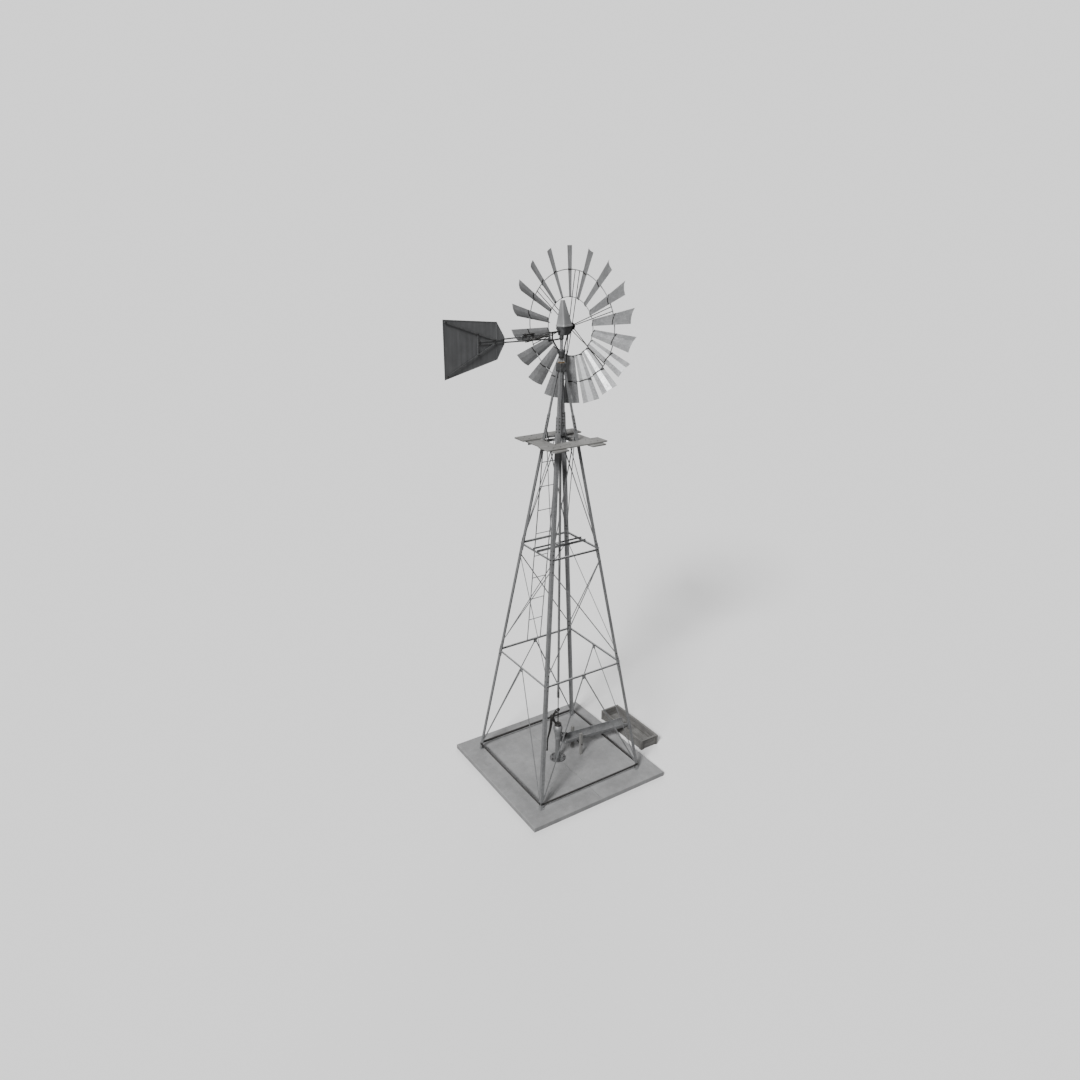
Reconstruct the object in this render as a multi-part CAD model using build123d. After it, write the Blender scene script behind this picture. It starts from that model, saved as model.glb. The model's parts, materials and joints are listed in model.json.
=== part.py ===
from build123d import *
import os
from math import atan, atan2, cos, degrees, pi, radians, sin, sqrt

# A farm windmill that drives a hand-and-wind water pump.
# Frame: millimetres, +Z up, origin on the mast axis at the underside of the slab.

# ---- Foundation ----
SLAB_SIDE = 2860
SLAB_T = 90
SLAB_CHAMFER = 8
GROOVE_W = 6
GROOVE_D = 14
GROOVE_END = 6              # how far the groove cuts into the slab's sides
WELL_R = 45
PAST = 1                    # how far a cutting tool stands past the face it cuts
HAIR = 0.01                 # keeps two coincident faces apart in a cut

# ---- Tower ----
TOWER_H = 7396              # leg height above the slab
LINE_FOOT = 1083            # half spacing of the top section's heel line, at the slab
LINE_TOP = 52               # the same at the top of the legs
BATTER = (LINE_FOOT - LINE_TOP) / TOWER_H
LEG_FLANGES = (62, 62, 62, 47)              # of the four nested sections, from the foot
LEG_T = 5
GIRT_1 = 2234               # heights of girts, above the slab
GIRT_2 = 4387
FOOT_GIRT = 120
SPLICE_UP = 100
SPLICE_DOWN = 170
TOP_SPLICE = (6450, 6670)
GIRT_W = 40
GIRT_OUT = 24               # outstanding leg of a girt's angle
BEARER_OUT = 40
GIRT_T = 4
BRACE_W = 24
X_BRACE_W = 19
BRACE_T = 4
BRACE_PAST = 14             # how far a cross brace runs past its bolts
BOLT_R = 5
BOLT_HEX = 9
BOLT_HEAD = 7
BOLT_IN = 30                # bolt line, inwards from the leg's heel
SPLICE_BOLTS = (-90, 65)    # from a girt's top edge
TOP_SPLICE_BOLTS = (6476, 6534, 6592, 6645)
LOWER, MIDDLE, UPPER, TOP = 15, 10, 5, 0    # heel offsets of the four nested leg sections
X_LOW = (GIRT_1 + 165, GIRT_2 - 225)        # bolt heights of the two crossed braces
X_HIGH = (GIRT_2 + 130, 6430)
V_TOP = GIRT_1 - 85
V_BOLT_Y = 26
GUSSET_H = 100
GUSSET_W = 76
GUSSET_T = 5
FOOT_PLATE = 92
FOOT_PLATE_T = 8
FOOT_PLATE_OUT = 12         # how far a foot plate stands out from its leg
ANCHOR_IN = 18
ANCHOR_R = 8
ANCHOR_HEX = 13
ANCHOR_DEEP = 60
CAP_BOLT_Y = 34
CAP_BOLT_Z = 7382

# ---- Ladder ----
RAIL_X = 142
RAIL_T = 6
RAIL_D = 25
RAIL_OFF = 56
RAIL_BOTTOM = 2170
RAIL_TOP = 6232
RUNG_R = 8
RUNG_PITCH = 450
RUNG_FIRST = 2200
RUNG_COUNT = 9

# ---- Platform ----
DECK_TOP = 6262             # above the slab
BOARD_T = 25
DECK_HALF_X = 585
DECK_Y = (226, 506)
CROSS_X = (224, 500)
CROSS_HALF_Y = 588
BOARD_CORNER = 10
DECK_BOLT_X = (294, 430)
DECK_BOLT_Y = (286, 436)
DECK_BOLT_R = 4
DECK_WASHER_R = 9
DECK_NUT_R = 8
BEARER_HALF = 492

# ---- Tower cap and bearings ----
CAP_HALF = 64
CAP_Z = (7362, 7500)
CAP_BUSH_R = 34
CAP_WALL = 20
CAP_FLOOR = 42              # depth of the hollow under the cap
CAP_COLLAR = (52, 12)       # radius and height of the bearing's flange
GUIDE_HUB = (40, 25)        # radius and half height
GUIDE_ARM = (15, 8)         # half width and half height of the guide's arms
GUIDE_RIB = (120, 5, 17)    # half sizes of the ribs on them
THRUST_COLLAR = (40, 24)    # radius, and its top above the cap
MAST_R = 24
MAST_BORE_R = 20
RUN_GAP = 0.05              # radial clearance of running fits
FREE_GAP = 0.4              # clearance between faces that move past each other
GUIDE_Z = 6300

# ---- Pump rod ----
STROKE = 84
WOOD_HALF = 18
WOOD_CHAMFER = 5
WOOD_Z = (1334, 6180)
STEEL_ROD_R = 7
POLISHED_R = 10
ROD_GUIDE_Y = 62
ROD_GUIDE_HALF = 505
ROD_GUIDE_ANGLE = (30, 34, 4)   # width, depth and thickness of its angle bars
ROD_GUIDE_BLOCK = 60
STRAP = (14, 6, 130)        # half width, thickness and length of the straps at its ends
STRAP_BOLTS = (30, 100)     # heights on a strap
STRAP_BOLT_R = 4
STRAP_NUT = (8, 7)          # radius and height
ROD_PIN = (7, 24)           # radius and half length between its washers
ROD_PIN_WASHER = (16, 6)

# ---- Pump, heights above the slab ----
FLANGE_R = 150
FLANGE_T = 18
FLANGE_BOLTS = 5
FLANGE_PCD = 236
FLANGE_BOLT_ANGLE = 38
FLANGE_BOLT_R = 8
FLANGE_BOLT_DEEP = 80
FLANGE_BOLT_HEX = 14
FLANGE_NUT_H = 12
FLANGE_RIM = (60, 14)       # raised ring round the column: radius, height
COLUMN_R = 46
COLUMN_TOP = 430
SUCTION_R = 30
NECK_R = 36
CHAMBER = ((58, 502), (62, 540), (76, 600), (85, 650), (84, 690), (74, 715), (62, 735))     # (r, z)
CHAMBER_WALL = 9
CHAMBER_FOOT = ((54, 430), (60, 440), (60, 470), (56, 480))
PUMP_CAP_Z = (735, 775)
PUMP_CAP_R = 66
PUMP_CAP_CHAMFER = 6
GLAND = ((38, 14), (26, 29))            # (radius, top above the cap)
SPOUT_Z = 480
SPOUT_R = 30
SPOUT_BORE = 21
SPOUT_FLANGE = (52, 108, 120, 130)      # radius; start, joint face and end along X
SPOUT_BEND_X = 178
SPOUT_DROP = 46
SPOUT_LIP = (5, 12)         # extra radius and height
SPOUT_BOLT = (4, 8, 40)     # radius, head radius and pitch radius
FULCRUM = (-137, 981)
ROD_PIN_Z = 1076
STAND_FOOT = ((-62, -26), (-40, 26))    # low and high corner of its foot
STAND_FOOT_T = 12
CHEEK_Y = 12                # clear half width between the stand's cheeks
CHEEK_T = 8
CHEEK_LINE = ((-42, 787), (-66, 787), (-160, 930), (-166, 985), (-150, 1010), (-124, 1010), (-108, 985),
              (-100, 940))
FULCRUM_R = 10
FULCRUM_HEAD_R = 15
HANDLE_T = 20
HANDLE_BOSS_R = 28
HANDLE_KNOB_R = 14
LEVER_START = 30            # along the lever, from the fulcrum
LEVER_H = 40
FORK_START = 76             # behind the rod pin
FORK_BLOCK = 16
FORK_HALF = 22              # half width and half height
EAR_T = 9
EAR_L = 90
EAR_FILLET = 20
FORK_SLOT = (-34, 6, 13)    # its two centres, about the rod pin, and its radius
HANDLE_LINE = ((-137, 981, 25), (-150, 880, 25), (-160, 800, 23), (-191, 649, 19),
               (-226, 530, 13), (-237, 376, 10), (-245, 262, 11))

# ---- Chute, stakes and tank ----
CHUTE_X = (118, 850, 1650)
CHUTE_LAP = 20
CHUTE_R = 104
CHUTE_WALL = 5
CHUTE_SIDE = 24             # straight part below the rim
CHUTE_RIVETS = (-14, -52)
CHUTE_RIVET_R = 5
CHUTE_RIM_Z = 330           # rim height above the slab at CHUTE_REF_X
CHUTE_REF_X = 943
CHUTE_SLOPE = 0.1
STAKE_X = 440
STAKE_Y = 141
STAKE_SIDE = 48
STAKE_H = 470
STAKE_BAR_R = 12
STAKE_CHAMFER = 6
SADDLE_HALF = 74            # of the board that carries the chute on the tank
SADDLE_X = (2, 38)          # from the near side of the tank
STAKE_BAR_PAST = 46
TANK_X = (1585, 1975)
TANK_Y = (-580, 700)
TANK_H = 190
TANK_WALL = 24
COURSE_GAP = 3
TANK_FLOOR = (12, 32)
BATTEN = (14, 45)           # thickness and width
TANK_STRAP_W = 50
RIM_OUT = 16
RIM_IN = 10
RIM_T = 16

# ---- Head, in its own axes: X towards the wheel, origin on the mast ----
HEAD_YAW = 16.08
SHAFT_Y = 50
SHAFT_Z = 8030
SHAFT_R = 12.5
GEAR_MODULE = 2.75
GEAR_TEETH = 40
PINION_TEETH = 12
GEAR_X = 22
GEAR_T = 8
CRANK_R = STROKE / 2
CROSSHEAD_Z = 8285
CASE_Z = (7925, 8060)
CASE_LOW = (60, 190, 132, 45)   # middle along X, length, width, corner radius
CASE_HIGH = (65, 230, 176, 30)
CASE_WALL = 5
CASE_FLOOR = 8
HOOD_TOP = 8457
HINGE_X = -291
FURL_RING_Z = 7571
FURL_RING = (46, 28)        # radius and height
FURL_GROOVE = (40, 9, 19)
FURL_EAR = (38, 66, 7)
HINGE_R = 10
KNUCKLE_R = 17
HINGE_TUBE_Z = (7884, 7984)
HINGE_PIN_HEAD_R = 15
HINGE_EYE_R = 22
BRACKET_HALF = 13
BRACKET_POST = (-232, -214, 9)  # start, end and half width

# ---- Wheel ----
WHEEL_X = 280
WHEEL_R = 1222
BLADES = 18
BLADE_START = -1.7          # clockwise from the top, seen from the tail
BLADE_INNER_R = 450
BLADE_T = 2
BLADE_HALF_OUT = (111, 78)  # half chord at the tip: along the rim, along the shaft
BLADE_HALF_IN = (49, 34)
CAMBER = 0.11
CLIP_SEAT = BLADE_T / 2 + 0.2
CLIP_OUT = (-10, 10, 4)     # reach inwards and outwards of its ring, and thickness
CLIP_IN = (-5, 9, 3)
RING_OUT_R = 868
RING_OUT_TUBE = 8
RING_IN_R = 458
RING_IN_TUBE = 6
ARM_R = 7
ARM_START = 8.3
ARM_RIM_X = 14              # where an arm meets the outer ring, from the wheel's plane
ARMS = 6
ARM_SPREAD = 2.2
HUB_X = (233, 319)
HUB_FLANGE_R = 58
HUB_BARREL_R = 27
HUB_NUT = (24, 16)          # radius and thickness
SHAFT_X = (-47, 346)
RING_IN_X = -8              # the inner ring, from the wheel's plane

# ---- Tail, in the head's axes ----
VANE_OUTLINE = ((-2495, 8370), (-1459, 8254), (-1300, 8026), (-1300, 7927),
                (-1459, 7718), (-2498, 7557))
VANE_HEM = 3
CHORD_END = -1834
CHORD_H = 20
CHORD_T = 8
SPRING_R = 17
SPRING_WIRE = 3.5
SPRING_TURNS = 34
SPRING_FROM = (-351, 7965)
SPRING_TO = (-877, 7920)
SPRING_OUT = 24             # its middle, out from the chord's face
VANE_FOLD = 14              # width of the folded hem
VANE_BEAD_X = (-1467, -1451)
CHORDS = (((HINGE_X, 7970), (CHORD_END, 8010)), ((HINGE_X, 7896), (CHORD_END, 7975)))
TAIL_STRUT = ((-892, 7912), (-914, 7912), (-914, 8003), (-892, 8003))
STIFFENERS = (((-1500, 8004), (-2480, 8338)), ((-1500, 7956), (-2478, 7596)))
STIFFENER_W = 24
STIFFENER_T = 5
VANE_CLIP = ((-1838, 7812), (-1838, 8130), (-1862, 8130), (-1862, 7812))
VANE_BOLTS = ((-1517, 8000), (-1517, 7962), (-1850, 8114), (-1850, 7828), (-1820, 8010), (-1820, 7974),
              (-2450, 8328), (-2450, 7606), (-1330, 7990), (-1330, 7948))
STRUT_BOLTS = ((-903, 7986), (-903, 7927))
TAIL_BOLT = (5, 10, 9)      # radii of shank, head and nut
CLAMP_LINE = ((-655, 8000), (-655, 8022), (-896, 8028), (-896, 8006))
PULLEY = (-754, 7951, 14, 2.9)  # place along X, height, and the ring's two radii

LEAN = degrees(atan(BATTER))
STANDING = (Align.CENTER, Align.CENTER, Align.MIN)
FROM_END = (Align.MIN, Align.CENTER, Align.CENTER)
NODES = {}


def add(name, shapes):
    """Put the solids of one sub-part into its node."""
    solids = []
    for shape in shapes:
        solids.extend(shape.solids())
    NODES.setdefault(name, []).extend(solids)


def line_half(z):
    """Half spacing of the heel line at a height above the slab."""
    return LINE_FOOT - BATTER * z


def up(z):
    """Height in the model of a height above the slab."""
    return z + SLAB_T


def turned(shape, count=4, start=0):
    """Copies of a shape, equally spaced round the mast."""
    return [Rot(0, 0, start + 360 / count * i) * shape for i in range(count)]


def rod_between(a, b, radius):
    """A round bar from point a to point b."""
    start, end = Vector(*a), Vector(*b)
    plane = Plane(origin=start, z_dir=end - start)
    return extrude(plane * Circle(radius), (end - start).length)


def box_between(low, high):
    """A box from its lowest to its highest corner."""
    size = [h - l for l, h in zip(low, high)]
    return Pos(*low) * Box(*size, align=(Align.MIN, Align.MIN, Align.MIN))


def tube(radius, bore, low, high):
    """A vertical tube on the mast axis; a bore of zero leaves it solid."""
    body = Pos(0, 0, low) * Cylinder(radius, high - low, align=STANDING)
    if bore:
        hole = Pos(0, 0, low - 1) * Cylinder(bore, high - low + 2, align=STANDING)
        body -= hole
    return body


def x_cylinder(radius, x0, x1, y, z):
    """A bar along X."""
    return rod_between((x0, y, z), (x1, y, z), radius)


def cut(shape, tools):
    """Cut only the tools whose boxes reach the shape."""
    box = shape.bounding_box()
    near = []
    for tool in tools:
        other = tool.bounding_box()
        apart = (other.min.X > box.max.X or other.max.X < box.min.X
                 or other.min.Y > box.max.Y or other.max.Y < box.min.Y
                 or other.min.Z > box.max.Z or other.max.Z < box.min.Z)
        if not apart:
            near.append(tool)
    if near:
        return shape - near
    return shape


# ---- Tower face: points are (y, z) on the face towards +X ----
def face_point(y, z, offset):
    return Vector(line_half(z) + offset, y, up(z))


def face_flat(a, b, width, offset, thickness):
    """A flat bar on the face from a to b; offset is its inner side."""
    ay, az = a
    by, bz = b
    run = sqrt((by - ay) ** 2 + (bz - az) ** 2)
    sy = -(bz - az) / run * width / 2
    sz = (by - ay) / run * width / 2
    corners = [face_point(ay - sy, az - sz, offset), face_point(by - sy, bz - sz, offset),
               face_point(by + sy, bz + sz, offset), face_point(ay + sy, az + sz, offset)]
    outline = Face(Wire.make_polygon(corners, close=True))
    return Solid.extrude(outline, Vector(thickness, 0, 0))


def girt(z, half, offset, out=GIRT_OUT):
    """An angle bar across the face: one leg on the face, one leg outwards at the top."""
    x_top = line_half(z) + offset
    x_low = line_half(z - GIRT_W) + offset
    profile = [(x_low, 0, up(z - GIRT_W)), (x_low + GIRT_T, 0, up(z - GIRT_W)),
               (x_top + GIRT_T, 0, up(z - GIRT_T)), (x_top + out, 0, up(z - GIRT_T)),
               (x_top + out, 0, up(z)), (x_top, 0, up(z))]
    section = Face(Wire.make_polygon([Vector(*p) for p in profile], close=True))
    return Pos(0, -half, 0) * Solid.extrude(section, Vector(0, 2 * half, 0))


def bolt(length):
    """A hexagon bolt and nut; the head's seat is at z = 0 and the shank points down."""
    head = extrude(RegularPolygon(BOLT_HEX, 6), BOLT_HEAD)
    shank = Pos(0, 0, -length) * Cylinder(BOLT_R, length, align=STANDING)
    nut = Pos(0, 0, -length - BOLT_HEAD) * extrude(RegularPolygon(BOLT_HEX, 6), BOLT_HEAD)
    return head + shank + nut


def face_bolt(y, z, outer, inner):
    """A bolt square to the face, from its outer to its inner offset."""
    seat = Plane(origin=face_point(y, z, outer), x_dir=(0, 1, 0),
                 z_dir=(cos(radians(LEAN)), 0, sin(radians(LEAN))))
    return seat.location * bolt((outer - inner) * cos(radians(LEAN)))


# Foot, top and heel offset of each leg section.
SECTIONS = ((0, GIRT_1 + SPLICE_UP, LOWER), (GIRT_1 - SPLICE_DOWN, GIRT_2 + SPLICE_UP, MIDDLE),
            (GIRT_2 - SPLICE_DOWN, TOP_SPLICE[1], UPPER), (TOP_SPLICE[0], TOWER_H, TOP))


def bolt_line(z, offset):
    """Distance of the leg's bolt line from the face's middle."""
    return line_half(z) + offset - BOLT_IN


def leg_sections():
    """The four nested angle sections of the leg in the +X +Y corner."""
    sections = []
    for (low, high, offset), flange in zip(SECTIONS, LEG_FLANGES):
        a, b = line_half(low) + offset, line_half(high) + offset
        inner = a - flange
        web = a - LEG_T
        outline = Polyline((a, a), (inner, a), (inner, web), (web, web), (web, inner), (a, inner),
                           close=True)
        start = FOOT_PLATE_T if low == 0 else low
        shift = (b - a) / (high - low)
        section = Pos(shift * (start - low), shift * (start - low), up(start)) * make_face(outline)
        drop = high - start
        sections.append(Solid.extrude(section.face(), Vector(shift * drop, shift * drop, drop)))
    return sections


def face_bolts():
    """Bolts of one tower face: (y, z, outer offset, inner offset)."""
    places = []
    for side in (-1, 1):
        def place(z, section, outer, inner):
            places.append(face_bolt(side * bolt_line(z, section), z, outer, inner))
        place(FOOT_GIRT - GIRT_W / 2, LOWER, LOWER + GIRT_T, MIDDLE - BRACE_T)
        place(GIRT_1 - GIRT_W / 2, LOWER, LOWER + GIRT_T, UPPER)
        place(GIRT_2 - GIRT_W / 2, MIDDLE, MIDDLE + GIRT_T, TOP)
        for dz in SPLICE_BOLTS:
            place(GIRT_1 + dz, LOWER, LOWER, UPPER)
            place(GIRT_2 + dz, MIDDLE, MIDDLE, TOP)
        place(DECK_TOP - 2 * BOARD_T - GIRT_W / 2, UPPER, UPPER + GIRT_T, TOP)
        for z in TOP_SPLICE_BOLTS:
            place(z, UPPER, UPPER, TOP - LEG_T)
        low_inside, low_outside = X_LOW[::side]
        high_inside, high_outside = X_HIGH[::side]
        place(low_outside, MIDDLE, MIDDLE + BRACE_T, UPPER)
        place(low_inside, MIDDLE, MIDDLE, UPPER - BRACE_T)
        place(high_outside, UPPER, UPPER, TOP - BRACE_T)
        place(high_inside, UPPER, UPPER, TOP - 2 * BRACE_T)
        places.append(face_bolt(side * V_BOLT_Y, V_TOP, LOWER, MIDDLE - BRACE_T))
        places.append(face_bolt(side * V_BOLT_Y, GIRT_1 - GIRT_W / 2, LOWER + GIRT_T, MIDDLE))
    return places


def crossing(z_low, z_high, section, outer, slope):
    """One flat of a cross brace, a little past its bolts."""
    low, high = (-slope * bolt_line(z_low, section), z_low), (slope * bolt_line(z_high, section), z_high)
    run = sqrt((high[0] - low[0]) ** 2 + (high[1] - low[1]) ** 2)
    ey, ez = (high[0] - low[0]) / run * BRACE_PAST, (high[1] - low[1]) / run * BRACE_PAST
    return face_flat((low[0] - ey, low[1] - ez), (high[0] + ey, high[1] + ez), X_BRACE_W, outer, BRACE_T)


def build_tower():
    bolts_one_face = face_bolts()
    all_bolts = [Rot(0, 0, 90 * i) * b for i in range(4) for b in bolts_one_face]
    corner_bolts = bolts_one_face + [Rot(0, 0, 90) * b for b in bolts_one_face]
    cap_bolts = []
    for y in (-CAP_BOLT_Y, CAP_BOLT_Y):
        shank = x_cylinder(BOLT_R, CAP_HALF - 22, CAP_HALF, y, up(CAP_BOLT_Z))
        cap_bolts.append(shank + x_cylinder(BOLT_HEX, CAP_HALF, CAP_HALF + BOLT_HEAD, y, up(CAP_BOLT_Z)))
    all_cap_bolts = [Rot(0, 0, 90 * i) * b for i in range(4) for b in cap_bolts]
    leg = [cut(s, corner_bolts + all_cap_bolts) for s in leg_sections()]
    names = ("leg_rear", "leg_left", "leg_front", "leg_right")
    legs = []
    for i, name in enumerate(names):
        sections = [Rot(0, 0, 90 * i) * s for s in leg]
        legs.extend(sections)
        add(name, sections)

    for node, z, offset in (("foot_girts", FOOT_GIRT, LOWER), ("tower_girts", GIRT_1, LOWER),
                            ("tower_girts", GIRT_2, MIDDLE)):
        bar = girt(z, line_half(z) + offset - LEG_T - 1, offset)
        add(node, turned(cut(bar, bolts_one_face)))

    foot_z = FOOT_GIRT - GIRT_W / 2
    for side in (-1, 1):
        a = (side * (bolt_line(foot_z, LOWER) + 4), foot_z - 10)
        b = (side * 20, V_TOP + 12)
        brace = cut(face_flat(a, b, BRACE_W, MIDDLE - BRACE_T, BRACE_T), bolts_one_face)
        far_half = box_between((0, min(0, -60 * side), 0), (2000, max(0, -60 * side), 3000))
        add("v_braces", turned(brace - far_half))
    gusset = face_flat((0, GIRT_1 - GUSSET_H), (0, GIRT_1 - 2), GUSSET_W, MIDDLE, GUSSET_T)
    add("v_braces", turned(cut(gusset, bolts_one_face)))

    # The lower pair clips the leg from both sides; the upper pair clears the platform bearers.
    for heights, section, outer, inner in ((X_LOW, MIDDLE, MIDDLE, UPPER - BRACE_T),
                                           (X_HIGH, UPPER, TOP - BRACE_T, TOP - 2 * BRACE_T)):
        outside = crossing(*heights, section, outer, 1)
        inside = crossing(*heights, section, inner, -1)
        add("x_braces", turned(cut(outside, bolts_one_face)))
        add("x_braces", turned(cut(inside, bolts_one_face)))

    plates, anchors = [], []
    centre = line_half(0) + LOWER - FOOT_PLATE / 2 + FOOT_PLATE_OUT
    hex_head = extrude(RegularPolygon(ANCHOR_HEX, 6), 12)
    stud = Pos(0, 0, -ANCHOR_DEEP) * extrude(Circle(ANCHOR_R), ANCHOR_DEEP + 26)
    for sx in (-1, 1):
        for sy in (-1, 1):
            plate = Pos(sx * centre, sy * centre, up(FOOT_PLATE_T / 2)) * Box(
                FOOT_PLATE, FOOT_PLATE, FOOT_PLATE_T)
            seat = Pos(sx * (centre - ANCHOR_IN), sy * (centre - ANCHOR_IN), up(FOOT_PLATE_T))
            anchor = seat * (hex_head + stud)
            plates.append(plate - anchor)
            anchors.append(anchor)
    add("foot_plates", plates)
    add("tower_bolts", anchors)
    return all_bolts, all_cap_bolts, legs, anchors


def build_slab(anchors):
    half = SLAB_SIDE / 2
    slab = box_between((-half, -half, 0), (half, half, SLAB_T))
    slab = chamfer(slab.faces().sort_by(Axis.Z)[-1].edges(), SLAB_CHAMFER)
    groove = box_between((-GROOVE_W / 2, -half - PAST, SLAB_T - GROOVE_D),
                         (GROOVE_W / 2, half + PAST, SLAB_T + PAST))
    ends = [box_between((-GROOVE_W / 2, y, -PAST), (GROOVE_W / 2, y + GROOVE_END + PAST, SLAB_T + PAST))
            for y in (-half - PAST, half - GROOVE_END)]
    slab = slab - groove - ends - tube(WELL_R, 0, -PAST, SLAB_T + PAST)
    bores = [Pos(x, y, up(-FLANGE_BOLT_DEEP)) * Cylinder(FLANGE_BOLT_R, 100, align=STANDING)
             for x, y in pump_bolt_points()]
    add("foundation_slab", [slab - anchors - bores])


def build_platform():
    deck_low = up(DECK_TOP - BOARD_T)
    cross_low = deck_low - BOARD_T
    decks, crosses, bolts = [], [], []
    depth = 2 * BOARD_T
    deck_bolt = extrude(Circle(DECK_WASHER_R), 4)
    deck_bolt += Pos(0, 0, -depth) * extrude(Circle(DECK_BOLT_R), depth)
    deck_bolt += Pos(0, 0, -depth - BOLT_HEAD) * extrude(RegularPolygon(DECK_NUT_R, 6), BOLT_HEAD)
    for x in [sx * x for sx in (-1, 1) for x in DECK_BOLT_X]:
        for y in [sy * y for sy in (-1, 1) for y in DECK_BOLT_Y]:
            bolts.append(Pos(x, y, up(DECK_TOP)) * deck_bolt)
    for side in (-1, 1):
        low, high = sorted((side * DECK_Y[0], side * DECK_Y[1]))
        deck = box_between((-DECK_HALF_X, low, deck_low), (DECK_HALF_X, high, up(DECK_TOP)))
        decks.append(cut(fillet(deck.edges().filter_by(Axis.Z), BOARD_CORNER), bolts))
        low, high = sorted((side * CROSS_X[0], side * CROSS_X[1]))
        cross = box_between((low, -CROSS_HALF_Y, cross_low), (high, CROSS_HALF_Y, deck_low))
        crosses.append(cut(fillet(cross.edges().filter_by(Axis.Z), BOARD_CORNER), bolts))
    add("platform_boards", decks)
    add("platform_boards", crosses)
    add("tower_bolts", bolts)


def build_bearers(bolts):
    top = DECK_TOP - 2 * BOARD_T
    short = cut(girt(top, line_half(top) - 3, UPPER, BEARER_OUT), bolts)
    long = cut(girt(top, BEARER_HALF, UPPER, BEARER_OUT), bolts)
    add("platform_bearers", [short, Rot(0, 0, 180) * short,
                             Rot(0, 0, 90) * long, Rot(0, 0, 270) * long])


def build_ladder():
    rails, rungs = [], []
    for side in (-1, 1):
        x = side * RAIL_X
        corners = [Vector(x, line_half(RAIL_BOTTOM) + RAIL_OFF, up(RAIL_BOTTOM)),
                   Vector(x, line_half(RAIL_BOTTOM) + RAIL_OFF + RAIL_D, up(RAIL_BOTTOM)),
                   Vector(x, line_half(RAIL_TOP) + RAIL_OFF + RAIL_D, up(RAIL_TOP)),
                   Vector(x, line_half(RAIL_TOP) + RAIL_OFF, up(RAIL_TOP))]
        side_face = Face(Wire.make_polygon(corners, close=True))
        rails.append(Solid.extrude(side_face, Vector(side * RAIL_T, 0, 0)))
    for i in range(RUNG_COUNT):
        z = RUNG_FIRST + RUNG_PITCH * i
        y = line_half(z) + RAIL_OFF + RAIL_D / 2
        rungs.append(rod_between((-RAIL_X, y, up(z)), (RAIL_X, y, up(z)), RUNG_R))
    add("ladder", rails)
    add("ladder", rungs)


def build_cap(legs, cap_bolts):
    low, high = CAP_Z
    cap = box_between((-CAP_HALF, -CAP_HALF, up(low)), (CAP_HALF, CAP_HALF, up(high)))
    cap = fillet(cap.edges().filter_by(Axis.Z), 14)
    cap = chamfer(cap.faces().sort_by(Axis.Z)[-1].edges(), 8)
    inner = CAP_HALF - CAP_WALL
    hollow = box_between((-inner, -inner, up(low) - PAST), (inner, inner, up(low) + CAP_FLOOR))
    cap = cap - hollow - tube(CAP_BUSH_R, 0, up(low), up(high) + PAST)
    top_sections = [s for s in legs if s.bounding_box().max.Z > up(TOWER_H) - 5]
    cap = cap - top_sections - cap_bolts
    add("tower_cap", [cap])
    bush = tube(CAP_BUSH_R, MAST_R + RUN_GAP, up(low + CAP_FLOOR + 2), up(high))
    collar_r, collar_h = CAP_COLLAR
    bush += tube(collar_r, MAST_R + RUN_GAP, up(high), up(high) + collar_h)
    add("cap_bearing", [bush])

    hub_r, hub_h = GUIDE_HUB
    guide = tube(hub_r, 0, up(GUIDE_Z) - hub_h, up(GUIDE_Z) + hub_h)
    arm_y, arm_z = GUIDE_ARM
    reach = (line_half(GUIDE_Z + arm_z) + UPPER - LEG_T) * sqrt(2) - arm_y
    for angle in (45, 135):
        for half_x, half_y, half_z in ((reach, arm_y, arm_z), GUIDE_RIB):
            guide += Rot(0, 0, angle) * (Pos(0, 0, up(GUIDE_Z)) * Box(2 * half_x, 2 * half_y, 2 * half_z))
    guide -= tube(MAST_R + RUN_GAP, 0, up(GUIDE_Z) - 2 * hub_h, up(GUIDE_Z) + 2 * hub_h)
    add("mast_guide", [guide])


def build_rod_guides():
    z = up(GIRT_2)
    width, depth, thick = ROD_GUIDE_ANGLE
    bars = []
    for side in (-1, 1):
        y = side * ROD_GUIDE_Y
        low, high = sorted((y, y + side * width))
        flat = box_between((-ROD_GUIDE_HALF, low, z), (ROD_GUIDE_HALF, high, z + thick))
        low, high = sorted((y, y + side * thick))
        web = box_between((-ROD_GUIDE_HALF, low, z), (ROD_GUIDE_HALF, high, z + depth))
        bars.append(flat + web)
    add("rod_guide", bars)
    block = box_between((-ROD_GUIDE_BLOCK, -ROD_GUIDE_Y, z + 2), (ROD_GUIDE_BLOCK, ROD_GUIDE_Y, z + depth))
    hole = WOOD_HALF + 1
    block -= box_between((-hole, -hole, z), (hole, hole, z + depth + PAST))
    add("rod_guide", [block])


def pump_bolt_points():
    points = []
    for i in range(FLANGE_BOLTS):
        angle = radians(FLANGE_BOLT_ANGLE + 360 / FLANGE_BOLTS * i)
        points.append((FLANGE_PCD / 2 * cos(angle), FLANGE_PCD / 2 * sin(angle)))
    return points


def revolve_profile(points):
    """Turn a closed (r, z) outline about the mast axis."""
    outline = Polyline(*[(r, 0, up(z)) for r, z in points], close=True)
    return revolve(make_face(outline), Axis.Z, 360)


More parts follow.
